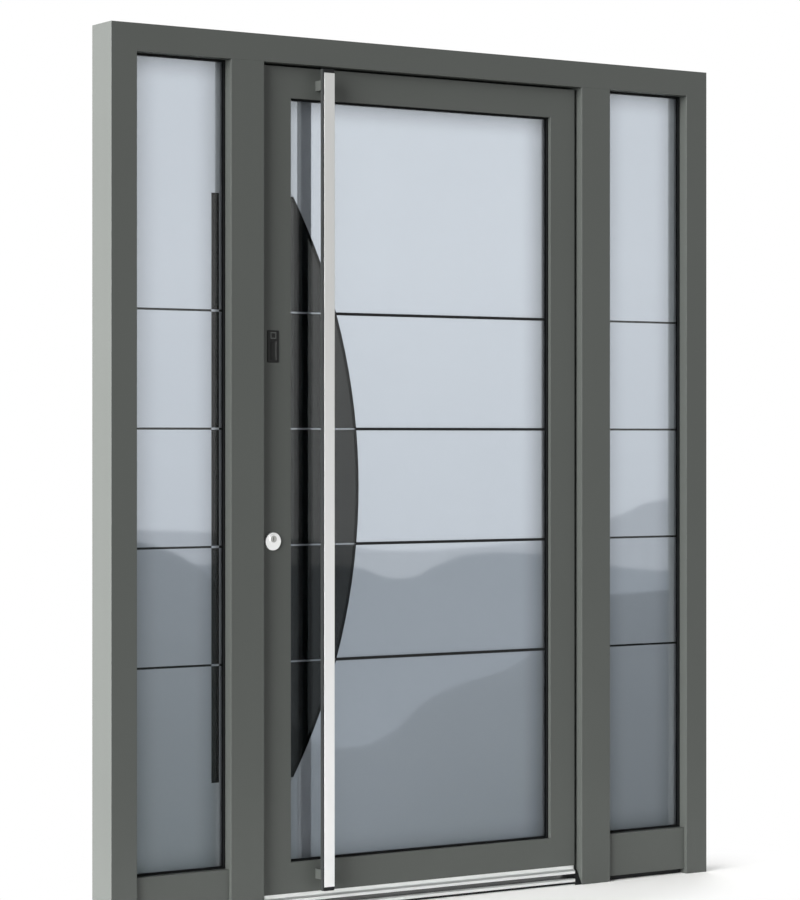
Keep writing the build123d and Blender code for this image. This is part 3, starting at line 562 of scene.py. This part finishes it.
@dataclass(frozen=True)
class CountersunkScrew:
    """Flush screw head with a six-sided socket."""

    radius: float = 2.8 * MM
    crown: float = 0.35 * MM
    socket_radius: float = 1.3 * MM
    socket_depth: float = 1.2 * MM
    sunk: float = 0.5 * MM       # depth of the head's outer edge under the plate's face
    sides: int = 24
    socket_sides: int = 6

    def add(self, form: bmesh.types.BMesh, centre: Vector, outwards: Vector) -> None:
        """Add one head to a bmesh.

        Args:
            form: bmesh that gets the head.
            centre: middle of the head, on the plate's face.
            outwards: direction in which the head looks.
        """
        turn = Vector((0, 0, 1)).rotation_difference(outwards).to_matrix().to_4x4()
        place = Matrix.Translation(centre - outwards * self.sunk) @ turn
        rings = []
        for radius, sides, height in (
                (self.radius, self.sides, 0.0),
                (self.socket_radius, self.socket_sides, self.crown),
                (self.socket_radius, self.socket_sides, self.crown - self.socket_depth)):
            at = place @ Matrix.Translation((0, 0, height))
            rings.append(edges_of(
                bmesh.ops.create_circle(form, radius=radius, segments=sides, matrix=at)["verts"]))
        for outer, inner in zip(rings, rings[1:]):
            bmesh.ops.bridge_loops(form, edges=outer + inner)
        bottom = bmesh.ops.contextual_create(form, geom=rings[-1])["faces"][0]
        faces = list(dict.fromkeys(face for ring in rings for edge in ring for face in edge.link_faces))
        bmesh.ops.recalc_face_normals(form, faces=faces)
        bottom.normal_update()
        if bottom.normal.dot(outwards) < 0:
            bmesh.ops.reverse_faces(form, faces=faces)


@dataclass
class FrameProfiles(Assembly):
    """Jambs, head, mullions, rails and what they stand on."""

    def build(self) -> None:
        """Dress the painted profiles, the packers and the rebate seal."""
        self.dress(Slot.POWDER_COAT, "left_jamb", "right_jamb", "head", "left_mullion", "right_mullion",
                   "left_bottom_rail", "right_bottom_rail")
        self.dress(Slot.BLACK_PLASTIC, "base_packers")
        self.dress(Slot.SEAL_RUBBER, "frame_seal")


@dataclass
class Threshold(Assembly):
    """Aluminium threshold with its dark core and end blocks."""

    def build(self) -> None:
        """Dress the metal halves and the plastic between and beside them."""
        self.dress(Slot.ANODISED_ALUMINIUM, "threshold_rails")
        # the end blocks are black plastic, and their black also stands in for the shade at the foot of the
        # reveals: partly painted shade
        self.dress(Slot.BLACK_PLASTIC, "threshold_core", "threshold_end_blocks")


@dataclass
class Glazing(Assembly):
    """Glass of the sidelights and the leaf, with seals, spacers and beads, and the leaf's black lines.

    Lines and arc lie where the CAD cuts the frosted layers.
    """

    line_levels: tuple[float, ...] = (631 * MM, 924 * MM, 1217 * MM, 1510 * MM)
    line_height: float = 7 * MM
    line_thick: float = 0.15 * MM
    line_gap: float = 0.03 * MM              # between the lines' back and the pane
    arc_middle: float = 1070.5 * MM
    arc_radius: float = 1469.6 * MM
    arc_right: float = -188.5 * MM
    arc_margin: float = 0.5 * MM             # keeps the segment's tone off the frosted field's edge
    line_start: float = 4.5 * MM             # the lines begin this far inside the arc

    def leaf_lines(self) -> None:
        """Lay the black enamel lines on the leaf's outer pane, from the arc to the seal."""
        pane_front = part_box("leaf_outer_pane")[0].y
        right_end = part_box("leaf_satin")[1].x

        def shape(form: bmesh.types.BMesh) -> None:
            """One flat strip for each line."""
            for level in self.line_levels:
                drop = self.arc_radius - math.sqrt(self.arc_radius ** 2 - (level - self.arc_middle) ** 2)
                left_end = self.arc_right - drop - self.line_start
                half = self.line_height / 2
                add_box(form, Vector((left_end, pane_front - self.line_thick, level - half)),
                        Vector((right_end, pane_front - self.line_gap, level + half)))

        self.add_piece("leaf_lines", Body.LEAF, Slot.BLACK_PLASTIC, shape)

    def frost(self) -> None:
        """Dress the frosted layers of the sidelights and the leaf, with painted shade along their edges."""
        low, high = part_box("sidelight_satin")
        inner = min(abs(vert.co.x) for vert in self.nodes["sidelight_satin"].data.vertices)
        edges = PaintedEdgeShade(low.x, inner, high.x - inner, low.z, high.z, right_share=0.5)
        self.clad("sidelight_satin", SatinGlass("frosted_sun_glass", "#E5E8F4", "#E9ECF8", edges))
        low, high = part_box("leaf_satin")
        edges = PaintedEdgeShade(low.x, low.x, high.x - low.x, low.z, high.z)
        middle = Vector((self.arc_right - self.arc_radius, low.y, self.arc_middle))
        self.clad("leaf_satin", EtchedSegment(
            "frosted_sun_glass_with_segment", "#ECEFFB", "#F0F3FF", edges,
            middle=middle, radius=self.arc_radius - self.arc_margin))

    def build(self) -> None:
        """Dress the three panes, the frosted layers and what holds them, then lay the black lines."""
        for owner, plural in (("sidelight", "s"), ("leaf", "")):
            self.dress(Slot.CLEAR_GLASS, f"{owner}_outer_pane{plural}", f"{owner}_inner_pane{plural}")
            self.dress(Slot.TINTED_GLASS, f"{owner}_pattern_pane{plural}")
            self.dress(Slot.SPACER_PLASTIC, f"{owner}_spacers")
            self.dress(Slot.SEAL_RUBBER, f"{owner}_seals")
            self.dress(Slot.POWDER_COAT, f"{owner}_beads")
        self.frost()
        self.leaf_lines()


@dataclass
class LeafProfiles(Assembly):
    """Stiles, rails and sill profile of the leaf."""

    def build(self) -> None:
        """Dress the painted profiles and the bare sill."""
        self.dress(Slot.POWDER_COAT, "lock_stile", "hinge_stile", "top_rail", "bottom_rail")
        self.dress(Slot.ANODISED_ALUMINIUM, "leaf_sill")


@dataclass
class PullBar(Assembly):
    """Long pull bar with its bright plate, which is bedded in a black edge: painted shade over the plate's
    lit sides.
    """

    shade_rim_width: float = 0.15 * MM
    plate_proud: float = 0.1 * MM
    # the plate grows paler towards its foot: a painted reflection
    plate_finish: Finish = PaintedReflectionMetal(
        "brushed_stainless_bar_plate", "#DCDCDA", "#D4D4D2", 0.385, Grain.ALONG_Z)

    def plate_painted_shade_rim(self) -> None:
        """Bed the plate in black up to its front: painted shade that hides its lit sides."""
        low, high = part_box("pull_bar_plate")
        around = Vector((self.shade_rim_width, 0, self.shade_rim_width))

        def shape(form: bmesh.types.BMesh) -> None:
            """A flat black box around the plate, just behind its front: painted shade over its sides."""
            add_box(form, low - around + Vector((0, self.plate_proud, 0)), high + around)

        self.add_piece("pull_bar_painted_shade_rim", Body.LEAF, Slot.BLACK_PLASTIC, shape)

    def build(self) -> None:
        """Dress the core, the dark joint, the plate and the standoffs, then add the plate's black edge of
        painted shade.
        """
        self.dress(Slot.BAR_CORE, "pull_bar")
        # the joint's black is partly its own plastic and partly painted shade for the gap between core and
        # plate
        self.dress(Slot.BLACK_PLASTIC, "pull_bar_joint")
        self.clad("pull_bar_plate", self.plate_finish)
        self.dress(Slot.POWDER_COAT, "pull_bar_standoffs")
        self.plate_painted_shade_rim()


@dataclass
class LockSet(Assembly):
    """Roses, cylinder, lever, edge plates with their bolts and screws, and the finger reader."""

    screw: CountersunkScrew = CountersunkScrew()
    screw_from_end: float = 12 * MM
    latch_up: float = 70 * MM
    bolt_down: float = 15 * MM
    bolt_height: float = 36 * MM
    bolt_depth: float = 10 * MM
    bolt_sunk: float = 0.4 * MM      # depth of the bolts' face under the faceplate's face
    pocket_sunk: float = 2.4 * MM    # the same for the pockets of the strike plate
    bolt_edge: float = 0.48 * MM
    rose_finish: Finish = BrushedMetal("bright_nickel_roses", "#FFFFFF", "#FCFCFB", 0.45, Grain.ALONG_X)
    # the plug's darker nickel is partly its own and partly painted shade for the recess it sits in
    painted_shade_plug_finish: Finish = BrushedMetal("nickel_plug_with_painted_shade", "#C2C2BF", "#B4B4B1", 0.4, Grain.ALONG_X)

    def plate_screws(self, name: str, node: str, body: Body, outwards: Vector) -> None:
        """Put two flush screws into an edge plate.

        Args:
            name: name of the piece.
            node: CAD node of the plate.
            body: body that the plate rides on.
            outwards: direction in which the plate's face looks.
        """
        low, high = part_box(node)
        face_x = low.x if outwards.x < 0 else high.x
        middle_y = (low.y + high.y) / 2

        def shape(form: bmesh.types.BMesh) -> None:
            """Two heads, near the ends of the plate."""
            for z in (low.z + self.screw_from_end, high.z - self.screw_from_end):
                self.screw.add(form, Vector((face_x, middle_y, z)), outwards)

        self.add_piece(name, body, Slot.STAINLESS_STEEL, shape)

    def bolts(self, name: str, node: str, body: Body, slot: Slot, outwards: Vector, sunk: float) -> None:
        """Fill the two slots of an edge plate.

        Args:
            name: name of the piece.
            node: CAD node of the plate.
            body: body that the plate rides on.
            slot: finish of the filling.
            outwards: direction in which the plate's face looks.
            sunk: depth of the filling's face under the plate's face.
        """
        low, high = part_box(node)
        face_x = low.x if outwards.x < 0 else high.x
        middle = (low + high) / 2
        thick = high.x - low.x

        def shape(form: bmesh.types.BMesh) -> None:
            """A latch above and a dead bolt below, with broken edges."""
            for z in (middle.z + self.latch_up, middle.z - self.bolt_down):
                centre = Vector((face_x - outwards.x * (sunk + thick) / 2, middle.y, z))
                half = Vector((thick - sunk, self.bolt_depth, self.bolt_height)) / 2
                edges = edges_of(add_box(form, centre - half, centre + half))
                bmesh.ops.bevel(form, geom=edges, offset=self.bolt_edge, segments=2, profile=0.5,
                                affect="EDGES", material=-1)

        self.add_piece(name, body, slot, shape)

    def build(self) -> None:
        """Dress the lock's nodes, then add bolts and screws."""
        self.dress(Slot.STAINLESS_STEEL, "lock_faceplate", "strike_plate", "inside_lever")
        self.clad("lock_cylinder", self.painted_shade_plug_finish)
        self.clad("lock_roses", self.rose_finish)
        self.dress(Slot.READER_PLASTIC, "finger_reader")
        self.dress(Slot.READER_WINDOW, "reader_window")
        left, right = Vector((-1, 0, 0)), Vector((1, 0, 0))
        self.plate_screws("faceplate_screws", "lock_faceplate", Body.LEAF, left)
        self.plate_screws("strike_screws", "strike_plate", Body.FRAME, right)
        self.bolts("lock_bolts", "lock_faceplate", Body.LEAF, Slot.STAINLESS_STEEL, left, self.bolt_sunk)
        self.bolts("strike_pockets", "strike_plate", Body.FRAME, Slot.BLACK_PLASTIC, right, self.pocket_sunk)


@dataclass
class Hinges(Assembly):
    """Three hinges with pins and plate screws."""

    screw: CountersunkScrew = CountersunkScrew(
        radius=4 * MM, crown=0.5 * MM, socket_radius=2 * MM, sunk=0.1 * MM)
    frame_plate_half: float = 64 * MM        # half the height of a frame plate
    frame_plate_width: float = 40 * MM
    plate_thick: float = 6 * MM
    frame_screw_rise: float = 44 * MM
    leaf_screws_at: tuple[float, ...] = (11 * MM, 35 * MM)   # from the free edge of a leaf plate

    def plate_screws(self, name: str, body: Body, spots: list[Vector]) -> None:
        """Put flush screws into the plates of one side.

        Args:
            name: name of the piece.
            body: body that the plates ride on.
            spots: places of the heads on the plates' faces.
        """
        inwards = Vector((0, 1, 0))

        def shape(form: bmesh.types.BMesh) -> None:
            """One head at each spot."""
            for spot in spots:
                self.screw.add(form, spot, inwards)

        self.add_piece(name, body, Slot.STAINLESS_STEEL, shape)

    def build(self) -> None:
        """Dress the hinges and put screws into their plates."""
        self.dress(Slot.HINGE_METAL, "hinge_frame_halves", "hinge_leaf_halves")
        self.dress(Slot.STAINLESS_STEEL, "hinge_pins")
        low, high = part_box("hinge_frame_halves")
        levels = (low.z + self.frame_plate_half, (low.z + high.z) / 2, high.z - self.frame_plate_half)
        frame_at = Vector((high.x - self.frame_plate_width / 2, low.y + self.plate_thick, 0))
        self.plate_screws("hinge_frame_screws", Body.FRAME, [
            frame_at + Vector((0, 0, level + rise))
            for level in levels for rise in (-self.frame_screw_rise, 0, self.frame_screw_rise)])
        low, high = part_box("hinge_leaf_halves")
        leaf_at = Vector((low.x, low.y + self.plate_thick, 0))
        self.plate_screws("hinge_leaf_screws", Body.LEAF, [
            leaf_at + Vector((along, 0, level)) for level in levels for along in self.leaf_screws_at])


@dataclass(frozen=True)
class HorizonCard:
    """A grey card with a curved top edge, far in front of the door, which only gloss and glass show."""

    crest: tuple[tuple[float, float], ...]   # top edge, degrees: direction right of straight out, height
    top: str
    foot: str
    fall: float = 5.5            # degrees from the tone of the top to that of the foot
    edge: float = 0.03           # half the width of the top edge's blur, degrees
    spare: float = 1.0           # degrees that the height curve goes on under the lowest point
    full_to: float = 0.4         # share of the span, from its middle, where the card begins to fade
    gone_at: float = 0.55        # share of the span, from its middle, where it is gone

    def lay_over(self, tree: bpy.types.NodeTree, behind: bpy.types.NodeSocket, turn: bpy.types.NodeSocket,
                 rise: bpy.types.NodeSocket) -> bpy.types.NodeSocket:
        """Cover what is behind the card.

        Args:
            tree: node tree of the world.
            behind: colour behind the card.
            turn: direction, in radians.
            rise: sine of the height over the horizon, small enough to stand for radians.

        Returns:
            The colour with the card in it. Outside its own directions the card fades out.
        """
        first, last = math.radians(self.crest[0][0]), math.radians(self.crest[-1][0])
        span = last - first
        lowest = min(height for _, height in self.crest) - self.spare
        share = add_node(tree, "ShaderNodeMapRange", {"Value": turn, "From Min": first, "From Max": last})
        top_edge = add_node(tree, "ShaderNodeFloatCurve", {"Value": share.outputs["Result"]})
        points = top_edge.mapping.curves[0].points
        for at, height in self.crest[1:-1]:
            points.new((math.radians(at) - first) / span, 1 - height / lowest)
        for end, height in ((0, self.crest[0][1]), (len(points) - 1, self.crest[-1][1])):
            points[end].location[1] = 1 - height / lowest
        top_edge.mapping.update()
        crest = add_node(tree, "ShaderNodeMapRange", {
            "Value": top_edge.outputs[0], "To Min": math.radians(lowest), "To Max": 0.0})
        under = add_node(tree, "ShaderNodeMath", {0: crest.outputs["Result"], 1: rise}, operation="SUBTRACT")
        blur = math.radians(self.edge)
        inside = add_node(tree, "ShaderNodeMapRange", {
            "Value": under.outputs[0], "From Min": -blur, "From Max": blur}, interpolation_type="SMOOTHSTEP")
        depth = add_node(tree, "ShaderNodeMapRange", {
            "Value": under.outputs[0], "From Min": 0.0, "From Max": math.radians(self.fall)})
        slope = add_node(tree, "ShaderNodeMix", {
            SHARE: depth.outputs["Result"], FIRST: linear(self.top), SECOND: linear(self.foot)},
            data_type="RGBA")
        aside = add_node(tree, "ShaderNodeMath", {0: turn, 1: (first + last) / 2}, operation="SUBTRACT")
        apart = add_node(tree, "ShaderNodeMath", {0: aside.outputs[0]}, operation="ABSOLUTE")
        within = add_node(tree, "ShaderNodeMapRange", {
            "Value": apart.outputs[0], "From Min": span * self.full_to, "From Max": span * self.gone_at,
            "To Min": 1.0, "To Max": 0.0}, interpolation_type="SMOOTHSTEP")
        shown = add_node(tree, "ShaderNodeMath", {
            0: inside.outputs["Result"], 1: within.outputs["Result"]}, operation="MULTIPLY")
        return add_node(tree, "ShaderNodeMix", {
            SHARE: shown.outputs[0], FIRST: behind, SECOND: slope.outputs[MIXED]},
            data_type="RGBA").outputs[MIXED]


@dataclass
class Studio:
    """White surroundings, pale floor, soft light from the left and the camera of the view."""

    nodes: dict[str, bpy.types.Object]
    panes: tuple[str, ...] = (
        "sidelight_outer_panes", "sidelight_inner_panes", "sidelight_pattern_panes", "sidelight_satin",
        "leaf_outer_pane", "leaf_inner_pane", "leaf_pattern_pane", "leaf_satin")
    room_light: float = 0.30
    bright: str = "#FFFFFF"
    haze: str = "#EEEFF0"
    sky: str = "#FDFDFD"
    zenith: str = "#7C7F81"
    nadir: str = "#FCFCFA"
    sky_from: tuple[float, float] = (-0.03, 0.06)        # heights, as sines, between which haze turns to sky
    zenith_from: tuple[float, float] = (0.13, 0.45)      # the same for sky to zenith
    nadir_from: tuple[float, float] = (-0.155, -0.18)    # the same for cards to nadir, downwards
    cards: tuple[HorizonCard, ...] = (
        HorizonCard(((25, -1.9), (28, -1.8), (31.5, -2.0), (33, -2.2), (35, -2.1), (36.5, -1.9),
                     (37.5, -1.5), (38.4, -1.2), (41, -1.4)), "#C6C8CA", "#C6C8CA"),
        HorizonCard(((25, -2.5), (31, -2.48), (32.3, -2.52), (33.2, -2.75), (33.9, -2.5), (34.6, -2.27),
                     (36.3, -2.3), (37.3, -2.5), (41, -2.6)), "#9CA1A5", "#9CA1A5"),
        HorizonCard(((25, -1.9), (28, -2.0), (29.5, -2.7), (30.5, -4.2), (31.5, -5.9), (32.4, -6.0),
                     (33.9, -5.0), (35.5, -4.4), (36.3, -3.7), (37.3, -3.2), (41, -3.1)),
                    "#858A8D", "#666D6B"),
        HorizonCard(((25, -9.5), (33, -9.0), (36.4, -6.0), (37.0, -3.2), (38, -3.0), (41, -2.9)),
                    "#72777A", "#535856"),
    )
    key_strength: float = 7.6
    key_from: Vector = Vector((-0.956, -0.292, 0.28))
    key_softness: float = math.radians(46)
    side_strength: float = 5.6
    side_from: Vector = Vector((-0.93, 0.34, 0.12))
    side_softness: float = math.radians(40)
    back_strength: float = 1.6
    back_from: Vector = Vector((0.45, 0.80, 0.40))
    back_softness: float = math.radians(40)
    floor_colour: str = "#F2F2F0"
    floor_roughness: float = 0.9
    floor_shine: float = 0.1
    floor_reach: Vector = Vector((1.35, 0.60, 1.0))
    floor_level: float = -0.5 * MM
    floor_sides: int = 96
    floor_fade: tuple[float, float] = (0.55, 0.98)       # shares of the reach where fading begins and ends
    camera_at: Vector = Vector((-4.2032, -6.3377, 1.1940))
    camera_turn: float = math.radians(-33.2)
    lens: float = 117.17
    sensor_width: float = 36.0
    shift_y: float = -0.01336
    clip_end: float = 100.0

    def world(self) -> None:
        """White for the camera, even light for matt surfaces, and a pale sky over grey cards for gloss."""
        world = bpy.data.worlds.new("studio")
        bpy.context.scene.world = world
        world.use_nodes = True
        tree = world.node_tree
        tree.nodes.clear()
        around = add_node(tree, "ShaderNodeTexCoord").outputs["Generated"]
        way = add_node(tree, "ShaderNodeSeparateXYZ", {0: around}).outputs
        forward = add_node(tree, "ShaderNodeMath", {0: way["Y"], 1: -1.0}, operation="MULTIPLY").outputs[0]
        turn = add_node(tree, "ShaderNodeMath", {0: way["X"], 1: forward}, operation="ARCTAN2").outputs[0]
        rise = way["Z"]
        above = add_node(tree, "ShaderNodeMapRange", {
            "Value": rise, "From Min": self.sky_from[0], "From Max": self.sky_from[1]})
        tone = add_node(tree, "ShaderNodeMix", {
            SHARE: above.outputs["Result"], FIRST: linear(self.haze), SECOND: linear(self.sky)},
            data_type="RGBA").outputs[MIXED]
        high = add_node(tree, "ShaderNodeMapRange", {
            "Value": rise, "From Min": self.zenith_from[0], "From Max": self.zenith_from[1]},
            interpolation_type="SMOOTHSTEP")
        tone = add_node(tree, "ShaderNodeMix", {
            SHARE: high.outputs["Result"], FIRST: tone, SECOND: linear(self.zenith)},
            data_type="RGBA").outputs[MIXED]
        for card in self.cards:
            tone = card.lay_over(tree, tone, turn, rise)
        below = add_node(tree, "ShaderNodeMapRange", {
            "Value": rise, "From Min": self.nadir_from[0], "From Max": self.nadir_from[1]},
            interpolation_type="SMOOTHSTEP")
        tone = add_node(tree, "ShaderNodeMix", {
            SHARE: below.outputs["Result"], FIRST: tone, SECOND: linear(self.nadir)},
            data_type="RGBA").outputs[MIXED]
        path = add_node(tree, "ShaderNodeLightPath")
        sky = add_node(tree, "ShaderNodeBackground", {"Color": tone, "Strength": 1.0})
        room = add_node(tree, "ShaderNodeBackground", {
            "Color": linear(self.bright), "Strength": self.room_light})
        white = add_node(tree, "ShaderNodeBackground", {"Color": linear(self.bright), "Strength": 1.0})
        matt = add_node(tree, "ShaderNodeMixShader", {
            0: path.outputs["Is Diffuse Ray"], 1: sky.outputs[0], 2: room.outputs[0]})
        seen = add_node(tree, "ShaderNodeMixShader", {
            0: path.outputs["Is Camera Ray"], 1: matt.outputs[0], 2: white.outputs[0]})
        add_node(tree, "ShaderNodeOutputWorld", {"Surface": seen.outputs[0]})

    def flag_panes(self) -> bpy.types.Collection:
        """Gather the panes that the lamps spare, so that no lamp is mirrored in the glass.

        Returns:
            A collection for the lamps' light linking, with each pane excluded.
        """
        spared = bpy.data.collections.new("panes_without_lamps")
        for name in self.panes:
            spared.objects.link(self.nodes[name])
        for member in spared.collection_objects:
            member.light_linking.link_state = "EXCLUDE"
        return spared

    def sun(self, name: str, strength: float, come_from: Vector, softness: float,
            spared: bpy.types.Collection) -> None:
        """Add a broad, soft lamp.

        Args:
            name: name of the lamp.
            strength: its strength.
            come_from: direction from the door to the lamp.
            softness: angle that the lamp spans.
            spared: what it doesn't light.
        """
        lamp = bpy.data.lights.new(name, "SUN")
        lamp.energy = strength
        lamp.angle = softness
        holder = bpy.data.objects.new(name, lamp)
        holder.rotation_euler = come_from.to_track_quat("Z", "Y").to_euler()
        holder.light_linking.receiver_collection = spared
        bpy.context.scene.collection.objects.link(holder)

    def floor(self) -> None:
        """Pale oval floor that fades into the white surroundings and keeps the shadow."""
        form = bmesh.new()
        place = Matrix.Translation((0, 0, self.floor_level)) @ Matrix.Diagonal(self.floor_reach.to_4d())
        bmesh.ops.create_circle(form, cap_ends=True, radius=1.0, segments=self.floor_sides, matrix=place)
        mesh = bpy.data.meshes.new("floor")
        form.to_mesh(mesh)
        form.free()
        floor = bpy.data.objects.new("floor", mesh)
        bpy.context.scene.collection.objects.link(floor)
        pale = bpy.data.materials.new("pale_floor")
        pale.use_nodes = True
        tree = pale.node_tree
        shader = tree.nodes["Principled BSDF"]
        shader.inputs["Base Color"].default_value = linear(self.floor_colour)
        shader.inputs["Roughness"].default_value = self.floor_roughness
        shader.inputs["Specular IOR Level"].default_value = self.floor_shine
        place = add_node(tree, "ShaderNodeTexCoord").outputs["Object"]
        even = add_node(tree, "ShaderNodeVectorMath", {0: place, 1: self.floor_reach}, operation="DIVIDE")
        reach = add_node(tree, "ShaderNodeVectorMath", {0: even.outputs[0]}, operation="LENGTH")
        fade = add_node(tree, "ShaderNodeMapRange", {
            "Value": reach.outputs["Value"], "From Min": self.floor_fade[0], "From Max": self.floor_fade[1]},
            interpolation_type="SMOOTHSTEP")
        white = add_node(tree, "ShaderNodeEmission", {"Color": linear(self.bright), "Strength": 1.0})
        mixed = add_node(tree, "ShaderNodeMixShader", {
            0: fade.outputs["Result"], 1: shader.outputs[0], 2: white.outputs[0]})
        tree.links.new(mixed.outputs[0], tree.nodes["Material Output"].inputs["Surface"])
        mesh.materials.append(pale)

    def camera(self) -> None:
        """Level camera, left of the door."""
        view = bpy.data.cameras.new("camera")
        view.lens = self.lens
        view.sensor_fit = "AUTO"
        view.sensor_width = self.sensor_width
        view.shift_y = self.shift_y
        view.clip_end = self.clip_end
        holder = bpy.data.objects.new("camera", view)
        holder.location = self.camera_at
        holder.rotation_euler = (math.pi / 2, 0.0, self.camera_turn)
        bpy.context.scene.collection.objects.link(holder)
        bpy.context.scene.camera = holder

    def build(self) -> None:
        """Set up the surroundings, lamps, floor and camera."""
        self.world()
        spared = self.flag_panes()
        self.sun("key_light", self.key_strength, self.key_from, self.key_softness, spared)
        self.sun("side_light", self.side_strength, self.side_from, self.side_softness, spared)
        self.sun("back_light", self.back_strength, self.back_from, self.back_softness, spared)
        self.floor()
        self.camera()
        bpy.context.scene.view_settings.view_transform = "Standard"


def main() -> None:
    """Load the frame, dress it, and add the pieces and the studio."""
    logging.basicConfig(level=logging.INFO, format="%(message)s")
    for old in list(bpy.data.objects):
        bpy.data.objects.remove(old)
    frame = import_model()
    palette = Palette()
    for kind in (FrameProfiles, Threshold, Glazing, LeafProfiles, PullBar, LockSet, Hinges):
        kind(frame["nodes"], palette).build()
    Studio(frame["nodes"]).build()
    bpy.context.view_layer.update()


if __name__ == "__main__":
    main()
